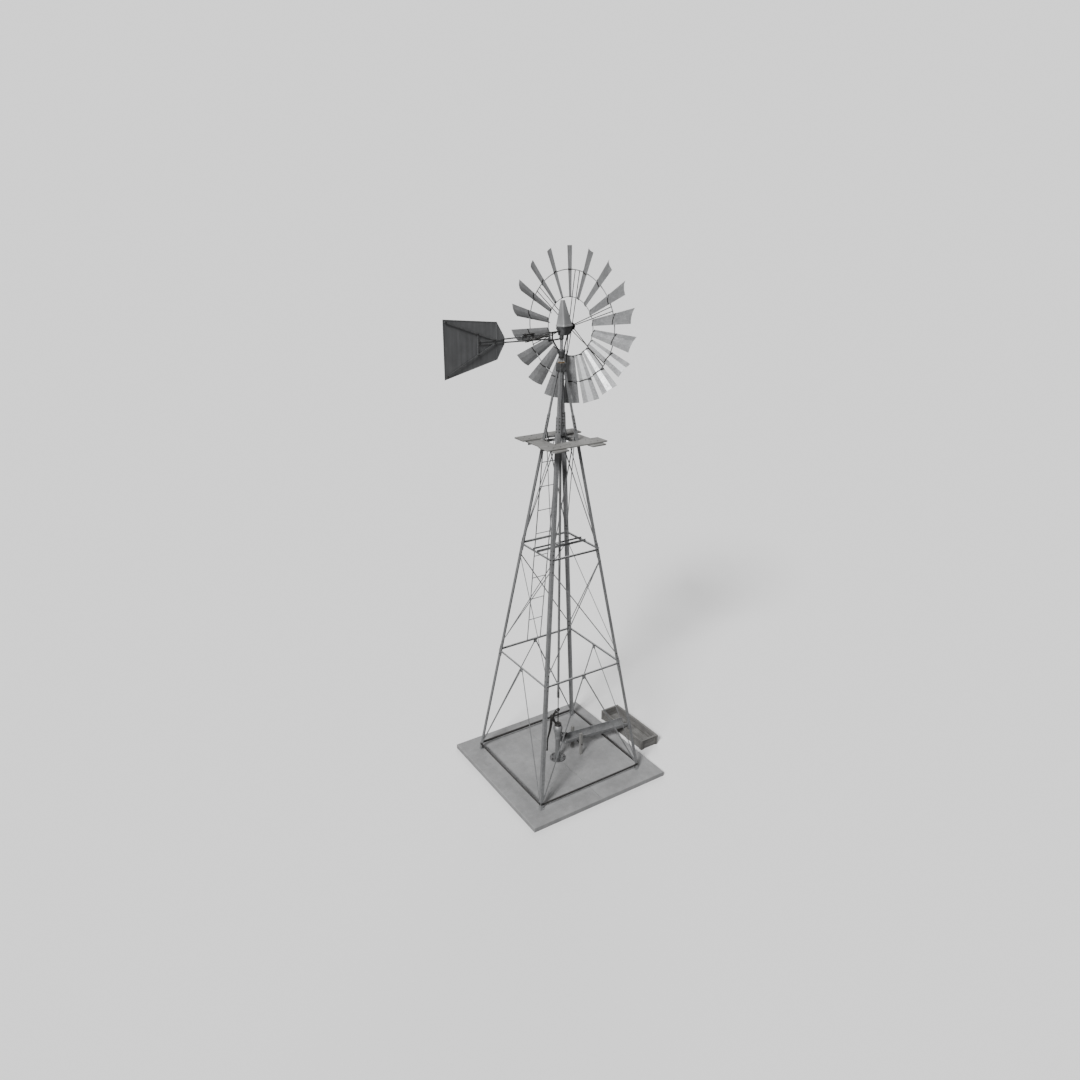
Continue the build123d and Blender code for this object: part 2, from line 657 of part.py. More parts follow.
def build_pump():
    bolts = []
    for x, y in pump_bolt_points():
        nut = extrude(RegularPolygon(FLANGE_BOLT_HEX, 6), FLANGE_NUT_H)
        stud = extrude(Circle(FLANGE_BOLT_R), FLANGE_BOLT_DEEP + 2 * FLANGE_NUT_H)
        bolts.append(Pos(x, y, up(FLANGE_T)) * (nut + Pos(0, 0, -FLANGE_BOLT_DEEP) * stud))
    add("pump_bolts", bolts)
    rim_r, rim_h = FLANGE_RIM
    base = tube(FLANGE_R, 0, up(0), up(FLANGE_T))
    base += tube(rim_r, 0, up(FLANGE_T), up(FLANGE_T + rim_h))
    base = base - tube(COLUMN_R, 0, up(-PAST), up(FLANGE_T + rim_h + PAST)) - bolts
    add("pump_base", [base])
    add("pump_column", [tube(COLUMN_R, SUCTION_R, up(0), up(COLUMN_TOP))])

    outer = Spline(*[(r, 0, up(z)) for r, z in CHAMBER])
    inner = Spline(*[(r - CHAMBER_WALL, 0, up(z)) for r, z in CHAMBER])
    egg = make_face([outer, Line(outer @ 1, inner @ 1), inner, Line(inner @ 0, outer @ 0)])
    (low_r, low_z), (next_r, next_z) = CHAMBER[:2]
    foot_top = CHAMBER_FOOT[-1][1]
    chamber = revolve(egg, Axis.Z, 360)
    chamber += revolve_profile(((NECK_R, COLUMN_TOP), *CHAMBER_FOOT, (low_r, low_z),
                                (low_r - CHAMBER_WALL, low_z), (NECK_R + 8, foot_top),
                                (NECK_R, foot_top - 10)))
    flange_r, flange_x, joint_x, flange_end = SPOUT_FLANGE
    spout = x_cylinder(SPOUT_R, NECK_R + 4, flange_x, 0, up(SPOUT_Z))
    lug = x_cylinder(flange_r, flange_x, joint_x, 0, up(SPOUT_Z))
    inside = revolve_profile(((0, COLUMN_TOP - PAST), (NECK_R, COLUMN_TOP - PAST), (NECK_R, foot_top - 10),
                              (NECK_R + 8, foot_top), (low_r - CHAMBER_WALL, low_z),
                              (next_r - CHAMBER_WALL, next_z), (0, next_z)))
    water_way = x_cylinder(SPOUT_BORE, 0, joint_x + PAST, 0, up(SPOUT_Z))
    chamber = chamber + (spout + lug - inside) - water_way

    mouth = x_cylinder(flange_r, joint_x, flange_end, 0, up(SPOUT_Z))
    bend = Pos(SPOUT_BEND_X, 0, up(SPOUT_Z))
    end_z = SPOUT_Z - SPOUT_DROP
    lip_out, lip_h = SPOUT_LIP
    elbow = x_cylinder(SPOUT_R, flange_end, SPOUT_BEND_X, 0, up(SPOUT_Z)) + bend * Sphere(SPOUT_R)
    elbow += Pos(SPOUT_BEND_X, 0, 0) * tube(SPOUT_R, 0, up(end_z), up(SPOUT_Z))
    elbow += Pos(SPOUT_BEND_X, 0, 0) * tube(SPOUT_R + lip_out, 0, up(end_z), up(end_z + lip_h))
    bore = x_cylinder(SPOUT_BORE, joint_x - PAST, SPOUT_BEND_X, 0, up(SPOUT_Z)) + bend * Sphere(SPOUT_BORE)
    bore += Pos(SPOUT_BEND_X, 0, 0) * tube(SPOUT_BORE, 0, up(end_z - PAST), up(SPOUT_Z))
    nozzle = mouth + elbow - bore
    spout_bolts = []
    bolt_r, head_r, pitch_r = SPOUT_BOLT
    for i in range(4):
        angle = radians(45 + 90 * i)
        y, z = pitch_r * cos(angle), up(SPOUT_Z) + pitch_r * sin(angle)
        spout_bolts.append(x_cylinder(bolt_r, flange_x, flange_end, y, z)
                           + x_cylinder(head_r, flange_x - BOLT_HEAD, flange_x, y, z)
                           + x_cylinder(head_r, flange_end, flange_end + BOLT_HEAD, y, z))
    add("spout_nozzle", [nozzle - spout_bolts])
    add("pump_chamber", [chamber - spout_bolts])
    add("pump_bolts", spout_bolts)

    low, high = PUMP_CAP_Z
    cap = tube(PUMP_CAP_R, POLISHED_R + 6, up(low), up(high))
    cap = chamfer(cap.faces().sort_by(Axis.Z)[-1].outer_wire().edges(), PUMP_CAP_CHAMFER)
    add("pump_cap", [cap])
    (seat_r, seat_h), (nut_r, nut_h) = GLAND
    gland = tube(seat_r, POLISHED_R + RUN_GAP, up(high), up(high + seat_h))
    gland += tube(nut_r, POLISHED_R + RUN_GAP, up(high + seat_h), up(high + nut_h))
    add("pump_cap", [gland])


def lever_angle(drop):
    """Direction of the lever towards the rod pin when the rod is lowered."""
    return atan2(ROD_PIN_Z - drop - FULCRUM[1], -FULCRUM[0])


def y_pin(radius, half, z, x=0):
    """A bar along Y, centred on the mast's plane."""
    return rod_between((x, -half, up(z)), (x, half, up(z)), radius)


def build_handle():
    fx, fz = FULCRUM
    (x0, y0), (x1, y1) = STAND_FOOT
    foot_z = up(PUMP_CAP_Z[1])
    stand = box_between((x0, y0, foot_z), (x1, y1, foot_z + STAND_FOOT_T))
    cheek = extrude(Plane.XZ * make_face(Polyline(*CHEEK_LINE, close=True)), -CHEEK_T)
    stand += Pos(0, -CHEEK_Y - CHEEK_T, SLAB_T) * cheek
    stand += Pos(0, CHEEK_Y, SLAB_T) * cheek
    stand -= y_pin(FULCRUM_R, 40, fz, fx)
    add("handle_stand", [stand])
    outside = CHEEK_Y + CHEEK_T
    pin = y_pin(FULCRUM_R, outside + 8, fz, fx)
    pin += y_pin(FULCRUM_HEAD_R, outside + 12, fz, fx) - y_pin(FULCRUM_HEAD_R, outside + 6, fz, fx)
    add("handle_stand", [pin])

    left, right = [], []
    for i, (x, z, half) in enumerate(HANDLE_LINE):
        x0, z0, _ = HANDLE_LINE[max(i - 1, 0)]
        x1, z1, _ = HANDLE_LINE[min(i + 1, len(HANDLE_LINE) - 1)]
        run = sqrt((x1 - x0) ** 2 + (z1 - z0) ** 2)
        nx, nz = (z1 - z0) / run * half, -(x1 - x0) / run * half
        left.append((x + nx, z + nz))
        right.append((x - nx, z - nz))
    side_a, side_b = Spline(*left), Spline(*right)
    outline = make_face([side_a, Line(side_a @ 1, side_b @ 1), side_b, Line(side_b @ 0, side_a @ 0)])
    web = Pos(0, -HANDLE_T / 2, SLAB_T) * extrude(Plane.XZ * outline, -HANDLE_T)
    web += y_pin(HANDLE_BOSS_R, HANDLE_T / 2, fz, fx)
    tip_x, tip_z, _ = HANDLE_LINE[-1]
    web += Pos(tip_x, 0, up(tip_z)) * Sphere(HANDLE_KNOB_R)

    angle = lever_angle(0)
    reach = sqrt(fx ** 2 + (ROD_PIN_Z - fz) ** 2)
    block_x = reach - FORK_START
    lever = Pos(LEVER_START, 0, 0) * Box(block_x - LEVER_START, HANDLE_T, LEVER_H, align=FROM_END)
    block = Pos(block_x, 0, 0) * Box(FORK_BLOCK, 2 * FORK_HALF, 2 * FORK_HALF, align=FROM_END)
    ears = []
    for y in (-FORK_HALF, FORK_HALF - EAR_T):
        ear = Pos(block_x + FORK_BLOCK - PAST, y, 0) * Box(
            EAR_L, EAR_T, 2 * FORK_HALF, align=(Align.MIN, Align.MIN, Align.CENTER))
        ears.append(fillet(ear.edges().filter_by(Axis.Y).sort_by(Axis.X)[-2:], EAR_FILLET))
    slot_from, slot_to, slot_r = FORK_SLOT
    slot = Pos(reach + slot_from, 0, 0) * Box(slot_to - slot_from, 60, 2 * slot_r, align=FROM_END)
    for x in (slot_from, slot_to):
        slot += Pos(reach + x, 30, 0) * Rot(90, 0, 0) * Cylinder(slot_r, 60, align=STANDING)
    fork = lever + block + ears - slot
    fork = Pos(fx, 0, up(fz)) * Rot(0, -degrees(angle), 0) * fork
    handle = web + fork
    handle -= y_pin(FULCRUM_R + RUN_GAP, 40, fz, fx)
    add("pump_handle", [handle])


def build_rod():
    low, high = WOOD_Z
    wood = Pos(0, 0, up(low)) * Box(2 * WOOD_HALF, 2 * WOOD_HALF, high - low, align=STANDING)
    wood = chamfer(wood.edges().filter_by(Axis.Z), WOOD_CHAMFER)
    strap_half, strap_t, strap_l = STRAP
    polished = tube(POLISHED_R, 0, up(640), up(low + strap_l - 10))
    steel = tube(STEEL_ROD_R, 0, up(high - strap_l + 10), up(CROSSHEAD_Z - BUTTON_T))
    steel += tube(BUTTON_R, 0, up(CROSSHEAD_Z - BUTTON_T), up(CROSSHEAD_Z))
    outside = WOOD_HALF + strap_t
    nut_r, nut_h = STRAP_NUT
    couplings, bolts = [], []
    for z in (low, high - strap_l):
        for near, far in ((-outside, -WOOD_HALF), (WOOD_HALF, outside)):
            couplings.append(box_between((-strap_half, near, up(z)), (strap_half, far, up(z + strap_l))))
        for dz in STRAP_BOLTS:
            nuts = y_pin(nut_r, outside + nut_h, z + dz) - y_pin(nut_r, outside, z + dz)
            bolts.append(y_pin(STRAP_BOLT_R, outside + nut_h, z + dz) + nuts)
    pin_r, pin_half = ROD_PIN
    washer_r, washer_t = ROD_PIN_WASHER
    washers = y_pin(washer_r, pin_half + washer_t, ROD_PIN_Z) - y_pin(washer_r, pin_half, ROD_PIN_Z)
    pin = y_pin(pin_r, pin_half + washer_t, ROD_PIN_Z) + washers
    add("pump_rod", [wood - polished - steel - bolts])
    add("polished_rod", [polished - pin - bolts])
    add("upper_rod", [steel - bolts])
    add("rod_fittings", [cut(c, bolts) for c in couplings] + bolts + [pin])


def chute_section(inner, wall):
    """A half-round gutter profile open to +Y, with its rim at y = 0."""
    reach = inner + wall
    outer = Rectangle(2 * reach, CHUTE_SIDE, align=(Align.CENTER, Align.MAX))
    outer += Pos(0, -CHUTE_SIDE) * Circle(reach)
    outer -= Rectangle(2 * inner, CHUTE_SIDE + PAST, align=(Align.CENTER, Align.MAX))
    outer -= Pos(0, -CHUTE_SIDE) * Circle(inner)
    outer -= Rectangle(3 * reach, reach, align=(Align.CENTER, Align.MIN))
    return outer


def along_chute(x0, x1, section):
    """Extrude a gutter section down the slope between two X values."""
    tilt = atan(CHUTE_SLOPE)
    z = CHUTE_RIM_Z - CHUTE_SLOPE * (x0 - CHUTE_REF_X)
    plane = Plane(origin=(x0, 0, up(z)), x_dir=(0, 1, 0), z_dir=(cos(tilt), 0, -sin(tilt)))
    return extrude(plane * section, (x1 - x0) / cos(tilt))


def gutter_body(x0, x1):
    """The space that the lower gutter and its channel fill."""
    reach = CHUTE_R + 2 * CHUTE_WALL
    section = Pos(0, -CHUTE_SIDE) * Circle(reach)
    section += Pos(0, -CHUTE_SIDE) * Rectangle(2 * reach, reach, align=(Align.CENTER, Align.MIN))
    return along_chute(x0, x1, section)


def build_chute():
    upper = along_chute(CHUTE_X[0], CHUTE_X[1], chute_section(CHUTE_R, CHUTE_WALL))
    lower = along_chute(CHUTE_X[1] - CHUTE_LAP, CHUTE_X[2], chute_section(CHUTE_R + CHUTE_WALL, CHUTE_WALL))
    lap_x = CHUTE_X[1] - CHUTE_LAP / 2
    lap_z = up(CHUTE_RIM_Z - CHUTE_SLOPE * (lap_x - CHUTE_REF_X))
    rivets = []
    for side in (-1, 1):
        inner_y, outer_y = side * (CHUTE_R - 6), side * (CHUTE_R + 15)
        for z in (lap_z + dz for dz in CHUTE_RIVETS):
            rivets.append(rod_between((lap_x, inner_y, z), (lap_x, outer_y, z), CHUTE_RIVET_R))
    add("upper_chute", [cut(upper, rivets)])
    add("lower_chute", [cut(lower, rivets)])
    add("chute_fittings", rivets)

    rim = CHUTE_RIM_Z - CHUTE_SLOPE * (STAKE_X - CHUTE_REF_X)
    bar_z = rim - CHUTE_R - CHUTE_WALL - CHUTE_SIDE - STAKE_BAR_R - 5
    bar = y_pin(STAKE_BAR_R, STAKE_Y + STAKE_BAR_PAST, bar_z, STAKE_X)
    stakes = []
    for side in (-1, 1):
        stake = Pos(STAKE_X, side * STAKE_Y, up(0)) * Box(STAKE_SIDE, STAKE_SIDE, STAKE_H, align=STANDING)
        stake = chamfer(stake.faces().sort_by(Axis.Z)[-1].edges(), STAKE_CHAMFER)
        stakes.append(stake - bar)
    saddle_x = [TANK_X[0] + x for x in SADDLE_X]
    top_x = sum(saddle_x) / 2
    saddle_top = CHUTE_RIM_Z - CHUTE_SLOPE * (top_x - CHUTE_REF_X) - CHUTE_R - 8
    saddle = box_between((saddle_x[0], -SADDLE_HALF, TANK_H + RIM_T),
                         (saddle_x[1], SADDLE_HALF, up(saddle_top)))
    filled = gutter_body(CHUTE_X[1], CHUTE_X[2])
    add("chute_stakes", stakes + [saddle - filled])
    add("chute_fittings", [bar])


def build_tank():
    x0, x1 = TANK_X
    y0, y1 = TANK_Y
    w = TANK_WALL
    course = (TANK_H - COURSE_GAP) / 2
    boards = []
    for z in (0, course + COURSE_GAP):
        boards.append(box_between((x0, y0, z), (x0 + w, y1, z + course)))
        boards.append(box_between((x1 - w, y0, z), (x1, y1, z + course)))
        boards.append(box_between((x0 + w, y0, z), (x1 - w, y0 + w, z + course)))
        boards.append(box_between((x0 + w, y1 - w, z), (x1 - w, y1, z + course)))
    floor_low, floor_high = TANK_FLOOR
    width = (x1 - x0 - 2 * w) / 4
    for i in range(4):
        x = x0 + w + width * i
        boards.append(box_between((x, y0 + w, floor_low), (x + width, y1 - w, floor_high)))
    add("tank_boards", boards)

    t, b = BATTEN
    top = TANK_H - 2
    battens = []
    for x, sx in ((x0, -1), (x1, 1)):
        for y, sy in ((y0, -1), (y1, 1)):
            low = (min(x, x + sx * t), min(y + sy * t, y - sy * b), 0)
            high = (max(x, x + sx * t), max(y + sy * t, y - sy * b), top)
            battens.append(box_between(low, high))
            low = (min(x, x - sx * b), min(y, y + sy * t), 0)
            high = (max(x, x - sx * b), max(y, y + sy * t), top)
            battens.append(box_between(low, high))
    half = TANK_STRAP_W / 2
    for y in (y0 + (y1 - y0) / 3, y0 + (y1 - y0) * 2 / 3):
        battens.append(box_between((x0 - t, y - half, 0), (x0, y + half, top)))
        battens.append(box_between((x1, y - half, 0), (x1 + t, y + half, top)))
    add("tank_trim", battens)

    z, lid = TANK_H, TANK_H + RIM_T
    lip = w + RIM_IN
    rim = [box_between((x0 - RIM_OUT, y0 - RIM_OUT, z), (x0 + lip, y1 + RIM_OUT, lid)),
           box_between((x1 - lip, y0 - RIM_OUT, z), (x1 + RIM_OUT, y1 + RIM_OUT, lid)),
           box_between((x0 + lip, y0 - RIM_OUT, z), (x1 - lip, y0 + lip, lid)),
           box_between((x0 + lip, y1 - lip, z), (x1 - lip, y1 + RIM_OUT, lid))]
    add("tank_trim", rim)


# ---- Head ----
def in_head(shapes):
    """Turn shapes from the head's own axes to the model's."""
    return [Rot(0, 0, HEAD_YAW) * s for s in shapes]


GEAR_R = GEAR_MODULE * GEAR_TEETH / 2
PINION_R = GEAR_MODULE * PINION_TEETH / 2
GEAR_Z = SHAFT_Z + sqrt((GEAR_R + PINION_R) ** 2 - SHAFT_Y ** 2)
MESH_ANGLE = atan2(SHAFT_Z - GEAR_Z, SHAFT_Y)
GUIDE_ROD_Y = 28
GUIDE_ROD_R = 5
PITMAN_X = 12
PITMAN_T = 7
CROSSHEAD_HALF = 11.5
CROSSHEAD_H = 20            # half height
PITMAN_PIN_UP = 10          # above the crosshead's middle
PITMAN_HALF = 7
PITMAN_EYES = (13, 11)      # radii at the crank and at the crosshead
BUTTON_R = 9.5
BUTTON_T = 12
CHEEK_X = (32, 40)
GEAR_PIN_R = 8
GEAR_HOLES = (10, 30)       # radius and pitch radius of the five holes
GUIDE_ROD_TOP = 8335
PITMAN_PIN_R = 5
SLEEVE_R = 36               # socket under the gear case that takes the mast pipe
SLEEVE_Z = (CASE_Z[0] - 50, CASE_Z[0] + 10)
BEARINGS = ((-50, -35, 25), (150, 222, 27))     # start, end and radius of the two shaft bosses
YOKE_Z = (7600, 7702)
YOKE_LINE = ((40, 7600), (66, 7672), (66, 7690), (58, 7702))
YOKE_LUG = (40, 88, 14, 7672)   # start, end, half width and underside
YOKE_ARM_R = 11
YOKE_FRONT = ((66, 7702), (149, 7925))
YOKE_REAR = ((-72, 7702), (-206, 7862))
HOOD_WALL = 3
HOOD_LEVELS = ((8060, 65, 242, 188, 34), (8072, 65, 238, 184, 32), (8092, 62, 216, 166, 26),
               (HOOD_TOP, 20, 60, 50, 12))      # height, middle along X, length, width, corner radius


def toothed(radius, teeth, centre_on):
    """Spur gear outline; a tooth is centred on the given angle."""
    points = []
    pitch = 2 * pi / teeth
    for i in range(teeth):
        middle = centre_on + pitch * i
        for r, share in ((radius - 1.3 * GEAR_MODULE, -0.30), (radius + 0.85 * GEAR_MODULE, -0.11),
                         (radius + 0.85 * GEAR_MODULE, 0.11), (radius - 1.3 * GEAR_MODULE, 0.30)):
            angle = middle + share * pitch
            points.append((r * cos(angle), r * sin(angle)))
    return make_face(Polyline(*points, close=True))


def x_plane(x, y, z):
    """A plane across the shaft: its own X is the model's Y, its own Y is up."""
    return Plane(origin=(x, y, up(z)), x_dir=(0, 1, 0), z_dir=(1, 0, 0))


def build_gears():
    gears = []
    for x, face in ((GEAR_X, 1), (-GEAR_X - GEAR_T, -1)):
        outline = toothed(GEAR_R, GEAR_TEETH, MESH_ANGLE + pi / GEAR_TEETH)
        disc = extrude(x_plane(x, 0, GEAR_Z) * outline, GEAR_T)
        hole_r, hole_pitch = GEAR_HOLES
        for i in range(5):
            a = radians(72 * i + 18)
            y, z = hole_pitch * cos(a), up(GEAR_Z) + hole_pitch * sin(a)
            disc -= x_cylinder(hole_r, x - PAST, x + GEAR_T + PAST, y, z)
        disc -= x_cylinder(GEAR_PIN_R + RUN_GAP, x - PAST, x + GEAR_T + PAST, 0, up(GEAR_Z))
        boss_x = sorted((face * GEAR_X, face * (PITMAN_X + PITMAN_T + FREE_GAP)))
        disc += x_cylinder(GEAR_PIN_R, boss_x[0], boss_x[1], 0, up(GEAR_Z + CRANK_R))
        gears.append(disc)
    add("drive_gears", in_head(gears))
    pins = []
    for face in (-1, 1):
        ends = sorted((face * GEAR_X, face * (CHEEK_X[1] + 2)))
        pins.append(x_cylinder(GEAR_PIN_R, ends[0], ends[1], 0, up(GEAR_Z)))
    return pins


def case_shape(low, high, wall):
    """The gear case between two heights; wall makes the space inside it."""
    levels = []
    for z, (x, length, width, corner) in ((low, CASE_LOW), (high, CASE_HIGH)):
        outline = RectangleRounded(length - 2 * wall, width - 2 * wall, corner - wall)
        levels.append((Plane.XY.offset(up(z)) * Pos(x, 0) * outline).face())
    return loft(levels)


def build_head(gear_pins):
    low, high = CASE_Z
    case = case_shape(low, high, 0)
    hollow = case_shape(low + CASE_FLOOR, high + HAIR, CASE_WALL)
    case -= hollow
    sleeve_low, sleeve_high = SLEEVE_Z
    case += tube(SLEEVE_R, 0, up(sleeve_low), up(sleeve_high))
    for x0, x1, r in BEARINGS:
        case += x_cylinder(r, x0, x1, SHAFT_Y, up(SHAFT_Z))
    for face in (-1, 1):
        x0, x1 = sorted((face * CHEEK_X[0], face * CHEEK_X[1]))
        case += box_between((x0, -22, up(low + 4)), (x1, 22, up(GEAR_Z + 14)))
    shaft_bore = x_cylinder(SHAFT_R + RUN_GAP, -60, 240, SHAFT_Y, up(SHAFT_Z))
    mast_bore = tube(MAST_R, 0, up(low - 60), up(low - 2)) + tube(MAST_BORE_R, 0, up(low - 60), up(low + 30))
    guides = [Pos(0, y, 0) * tube(GUIDE_ROD_R, 0, up(low + 2), up(GUIDE_ROD_TOP))
              for y in (-GUIDE_ROD_Y, GUIDE_ROD_Y)]
    case = case - shaft_bore - mast_bore - gear_pins - guides
    add("gear_case", in_head([case]))
    add("gear_pins", in_head(gear_pins))
    tie = box_between((-8, -GUIDE_ROD_Y - 7, up(GUIDE_ROD_TOP)), (8, GUIDE_ROD_Y + 7, up(GUIDE_ROD_TOP + 6)))
    add("gear_pins", in_head(guides + [tie]))
    add("gear_hood", in_head([hood_shape(0) - hood_shape(HOOD_WALL)]))

    pipe = tube(MAST_R, MAST_BORE_R, up(GUIDE_Z - GUIDE_HUB[1]), up(low - 2))
    collar_r, collar_top = THRUST_COLLAR
    pipe += tube(collar_r, MAST_R - 1, up(CAP_Z[1] + CAP_COLLAR[1] + FREE_GAP), up(CAP_Z[1] + collar_top))
    add("mast_pipe", in_head([pipe]))


def hood_shape(shrink):
    """The tapering hood; shrink makes the space inside it."""
    faces = []
    for i, (z, x, length, width, corner) in enumerate(HOOD_LEVELS):
        if shrink and i == 0:
            z -= PAST
        if z == HOOD_TOP:
            z -= shrink
        outline = RectangleRounded(length - 2 * shrink, width - 2 * shrink, corner - shrink)
        faces.append((Plane.XY.offset(up(z)) * Pos(x, 0) * outline).face())
    shape = loft(faces[:3], ruled=True) + loft(faces[2:], ruled=True)
    if shrink:
        return shape
    return fillet(shape.faces().sort_by(Axis.Z)[-1].edges(), 6)


def build_mast_fittings():
    low, high = YOKE_Z
    collar = revolve_profile(((MAST_R, low), *YOKE_LINE, (MAST_R, high)))
    lug_in, lug_out, lug_half, lug_low = YOKE_LUG
    for side in (-1, 1):
        x0, x1 = sorted((side * lug_in, side * lug_out))
        collar += box_between((x0, -lug_half, up(lug_low)), (x1, lug_half, up(high - 2)))
    collar -= tube(MAST_R, 0, up(low - PAST), up(high + PAST))
    add("mast_yoke", in_head([collar]))
    arms = []
    for (x0, z0), (x1, z1) in (YOKE_FRONT, YOKE_REAR):
        arm = rod_between((x0, 0, up(z0)), (x1, 0, up(z1)), YOKE_ARM_R)
        below = Pos(x0, 0, up(high - 2 - 50)) * Box(120, 80, 50, align=STANDING)
        above = Pos(x1, 0, up(z1)) * Box(200, 80, 50, align=STANDING)
        arms.append(arm - below - above)
    add("mast_yoke", in_head(arms))

    tube_low, tube_high = HINGE_TUBE_Z
    hinge = Pos(HINGE_X, 0, 0)
    pin = hinge * (tube(HINGE_R, 0, up(tube_low - 36), up(tube_high + 26))
                   + tube(HINGE_PIN_HEAD_R, 0, up(tube_low - 36), up(tube_low - 24))
                   + tube(HINGE_PIN_HEAD_R, 0, up(tube_high + 18), up(tube_high + 26)))
    half = BRACKET_HALF
    upper = box_between((HINGE_X, -half, up(tube_high + 2)), (-44, half, up(tube_high + 16)))
    upper += hinge * tube(HINGE_EYE_R, 0, up(tube_high + 2), up(tube_high + 16))
    lower = box_between((HINGE_X, -half, up(tube_low - 22)), (-MAST_R + 2, half, up(tube_low - 2)))
    lower += hinge * tube(HINGE_EYE_R, 0, up(tube_low - 22), up(tube_low - 2))
    lower += tube(SLEEVE_R, 0, up(tube_low - 22), up(tube_low - 9))
    post_from, post_to, post_half = BRACKET_POST
    post = box_between((post_from, -post_half, up(tube_low - 2)), (post_to, post_half, up(tube_high + 2)))
    bracket = upper + lower + post
    bracket = bracket - pin - tube(MAST_R, 0, up(tube_low - 40), up(tube_low + 60))
    bracket = bracket - tube(SLEEVE_R, 0, up(SLEEVE_Z[0]), up(SLEEVE_Z[1]))
    case = NODES["gear_case"][0]
    bracket = (Rot(0, 0, HEAD_YAW) * bracket) - case
    add("tail_bracket", [bracket])
    add("tail_hinge_pin", in_head([pin]))

    ring_r, ring_h = FURL_RING
    groove_r, groove_low, groove_high = FURL_GROOVE
    ear_in, ear_out, ear_half = FURL_EAR
    ring = tube(ring_r, MAST_R + RUN_GAP, up(FURL_RING_Z), up(FURL_RING_Z + ring_h))
    ring -= tube(ring_r + PAST, groove_r, up(FURL_RING_Z + groove_low), up(FURL_RING_Z + groove_high))
    for side in (-1, 1):
        y0, y1 = sorted((side * ear_in, side * ear_out))
        ring += box_between((-ear_half, y0, up(FURL_RING_Z + 3)), (ear_half, y1, up(FURL_RING_Z + 8)))
    add("furl_ring", in_head([ring]))


def build_crosshead():
    z = up(CROSSHEAD_Z)
    half = CROSSHEAD_HALF
    pin_z = z + PITMAN_PIN_UP
    block = box_between((-half, -GUIDE_ROD_Y - 8, z - CROSSHEAD_H), (half, GUIDE_ROD_Y + 8, z + CROSSHEAD_H))
    for y in (-GUIDE_ROD_Y, GUIDE_ROD_Y):
        block -= Pos(0, y, 0) * tube(GUIDE_ROD_R + RUN_GAP, 0, z - 30, z + 30)
    socket = tube(STEEL_ROD_R + 0.5, 0, z - 30, z) + tube(BUTTON_R + 0.5, 0, z - BUTTON_T - 0.5, z + 0.5)
    for face in (-1, 1):
        ends = sorted((face * 8, face * (PITMAN_X + PITMAN_T + 2)))
        block += x_cylinder(PITMAN_PIN_R, ends[0], ends[1], 0, pin_z)
    block = block - socket
    add("crosshead", in_head([block]))
    pitmans = []
    eye_z = up(GEAR_Z + CRANK_R)
    for face in (-1, 1):
        ends = sorted((face * PITMAN_X, face * (PITMAN_X + PITMAN_T)))
        arm = box_between((ends[0], -PITMAN_HALF, eye_z), (ends[1], PITMAN_HALF, pin_z))
        for height, radius in zip((eye_z, pin_z), PITMAN_EYES):
            arm += x_cylinder(radius, ends[0], ends[1], 0, height)
            arm -= x_cylinder(PITMAN_PIN_R, ends[0] - PAST, ends[1] + PAST, 0, height)
        pitmans.append(arm)
    add("pitman_arms", in_head(pitmans))


# ---- Wheel: about its own centre, X along the shaft, angle 0 straight up ----
def at_wheel(shapes):
    place = Rot(0, 0, HEAD_YAW) * Pos(WHEEL_X, SHAFT_Y, up(SHAFT_Z))
    return [place * s for s in shapes]


def clockwise(shape, angle):
    """Turn about the shaft, clockwise as seen from the tail."""
    return Rot(angle, 0, 0) * shape


def blade_strip(r0, r1, t0, t1):
    """Part of a blade between two radii; t0 and t1 are depths from the middle of the sheet."""
    sections = []
    for r in (r0, r1):
        share = (r - BLADE_INNER_R) / (WHEEL_R - BLADE_INNER_R)
        rim = BLADE_HALF_IN[0] + share * (BLADE_HALF_OUT[0] - BLADE_HALF_IN[0])
        axial = BLADE_HALF_IN[1] + share * (BLADE_HALF_OUT[1] - BLADE_HALF_IN[1])
        chord = sqrt(rim ** 2 + axial ** 2)
        back = Vector(-rim / chord, axial / chord, 0)
        edge = Vector(-axial, -rim, 0)
        front_side, back_side = [], []
        for s in (-1, -0.36, 0.36, 1):
            bulge = 2 * chord * CAMBER * (1 - s * s)
            middle = edge * s + back * bulge
            front_side.append(middle + back * t0)
            back_side.append(middle + back * t1)
        loop = front_side + back_side[::-1]
        points = [Vector(p.X, p.Y, r) for p in loop]
        sections.append(Face(Wire.make_polygon(points, close=True)))
    return loft(sections, ruled=True)


def ring_arc(radius, tube_r, x, start, sweep):
    """Part of a ring round the shaft."""
    profile = Plane(origin=(x, 0, radius), x_dir=(1, 0, 0), z_dir=(0, 1, 0)) * Circle(tube_r)
    return clockwise(revolve(profile, Axis.X, sweep), start)


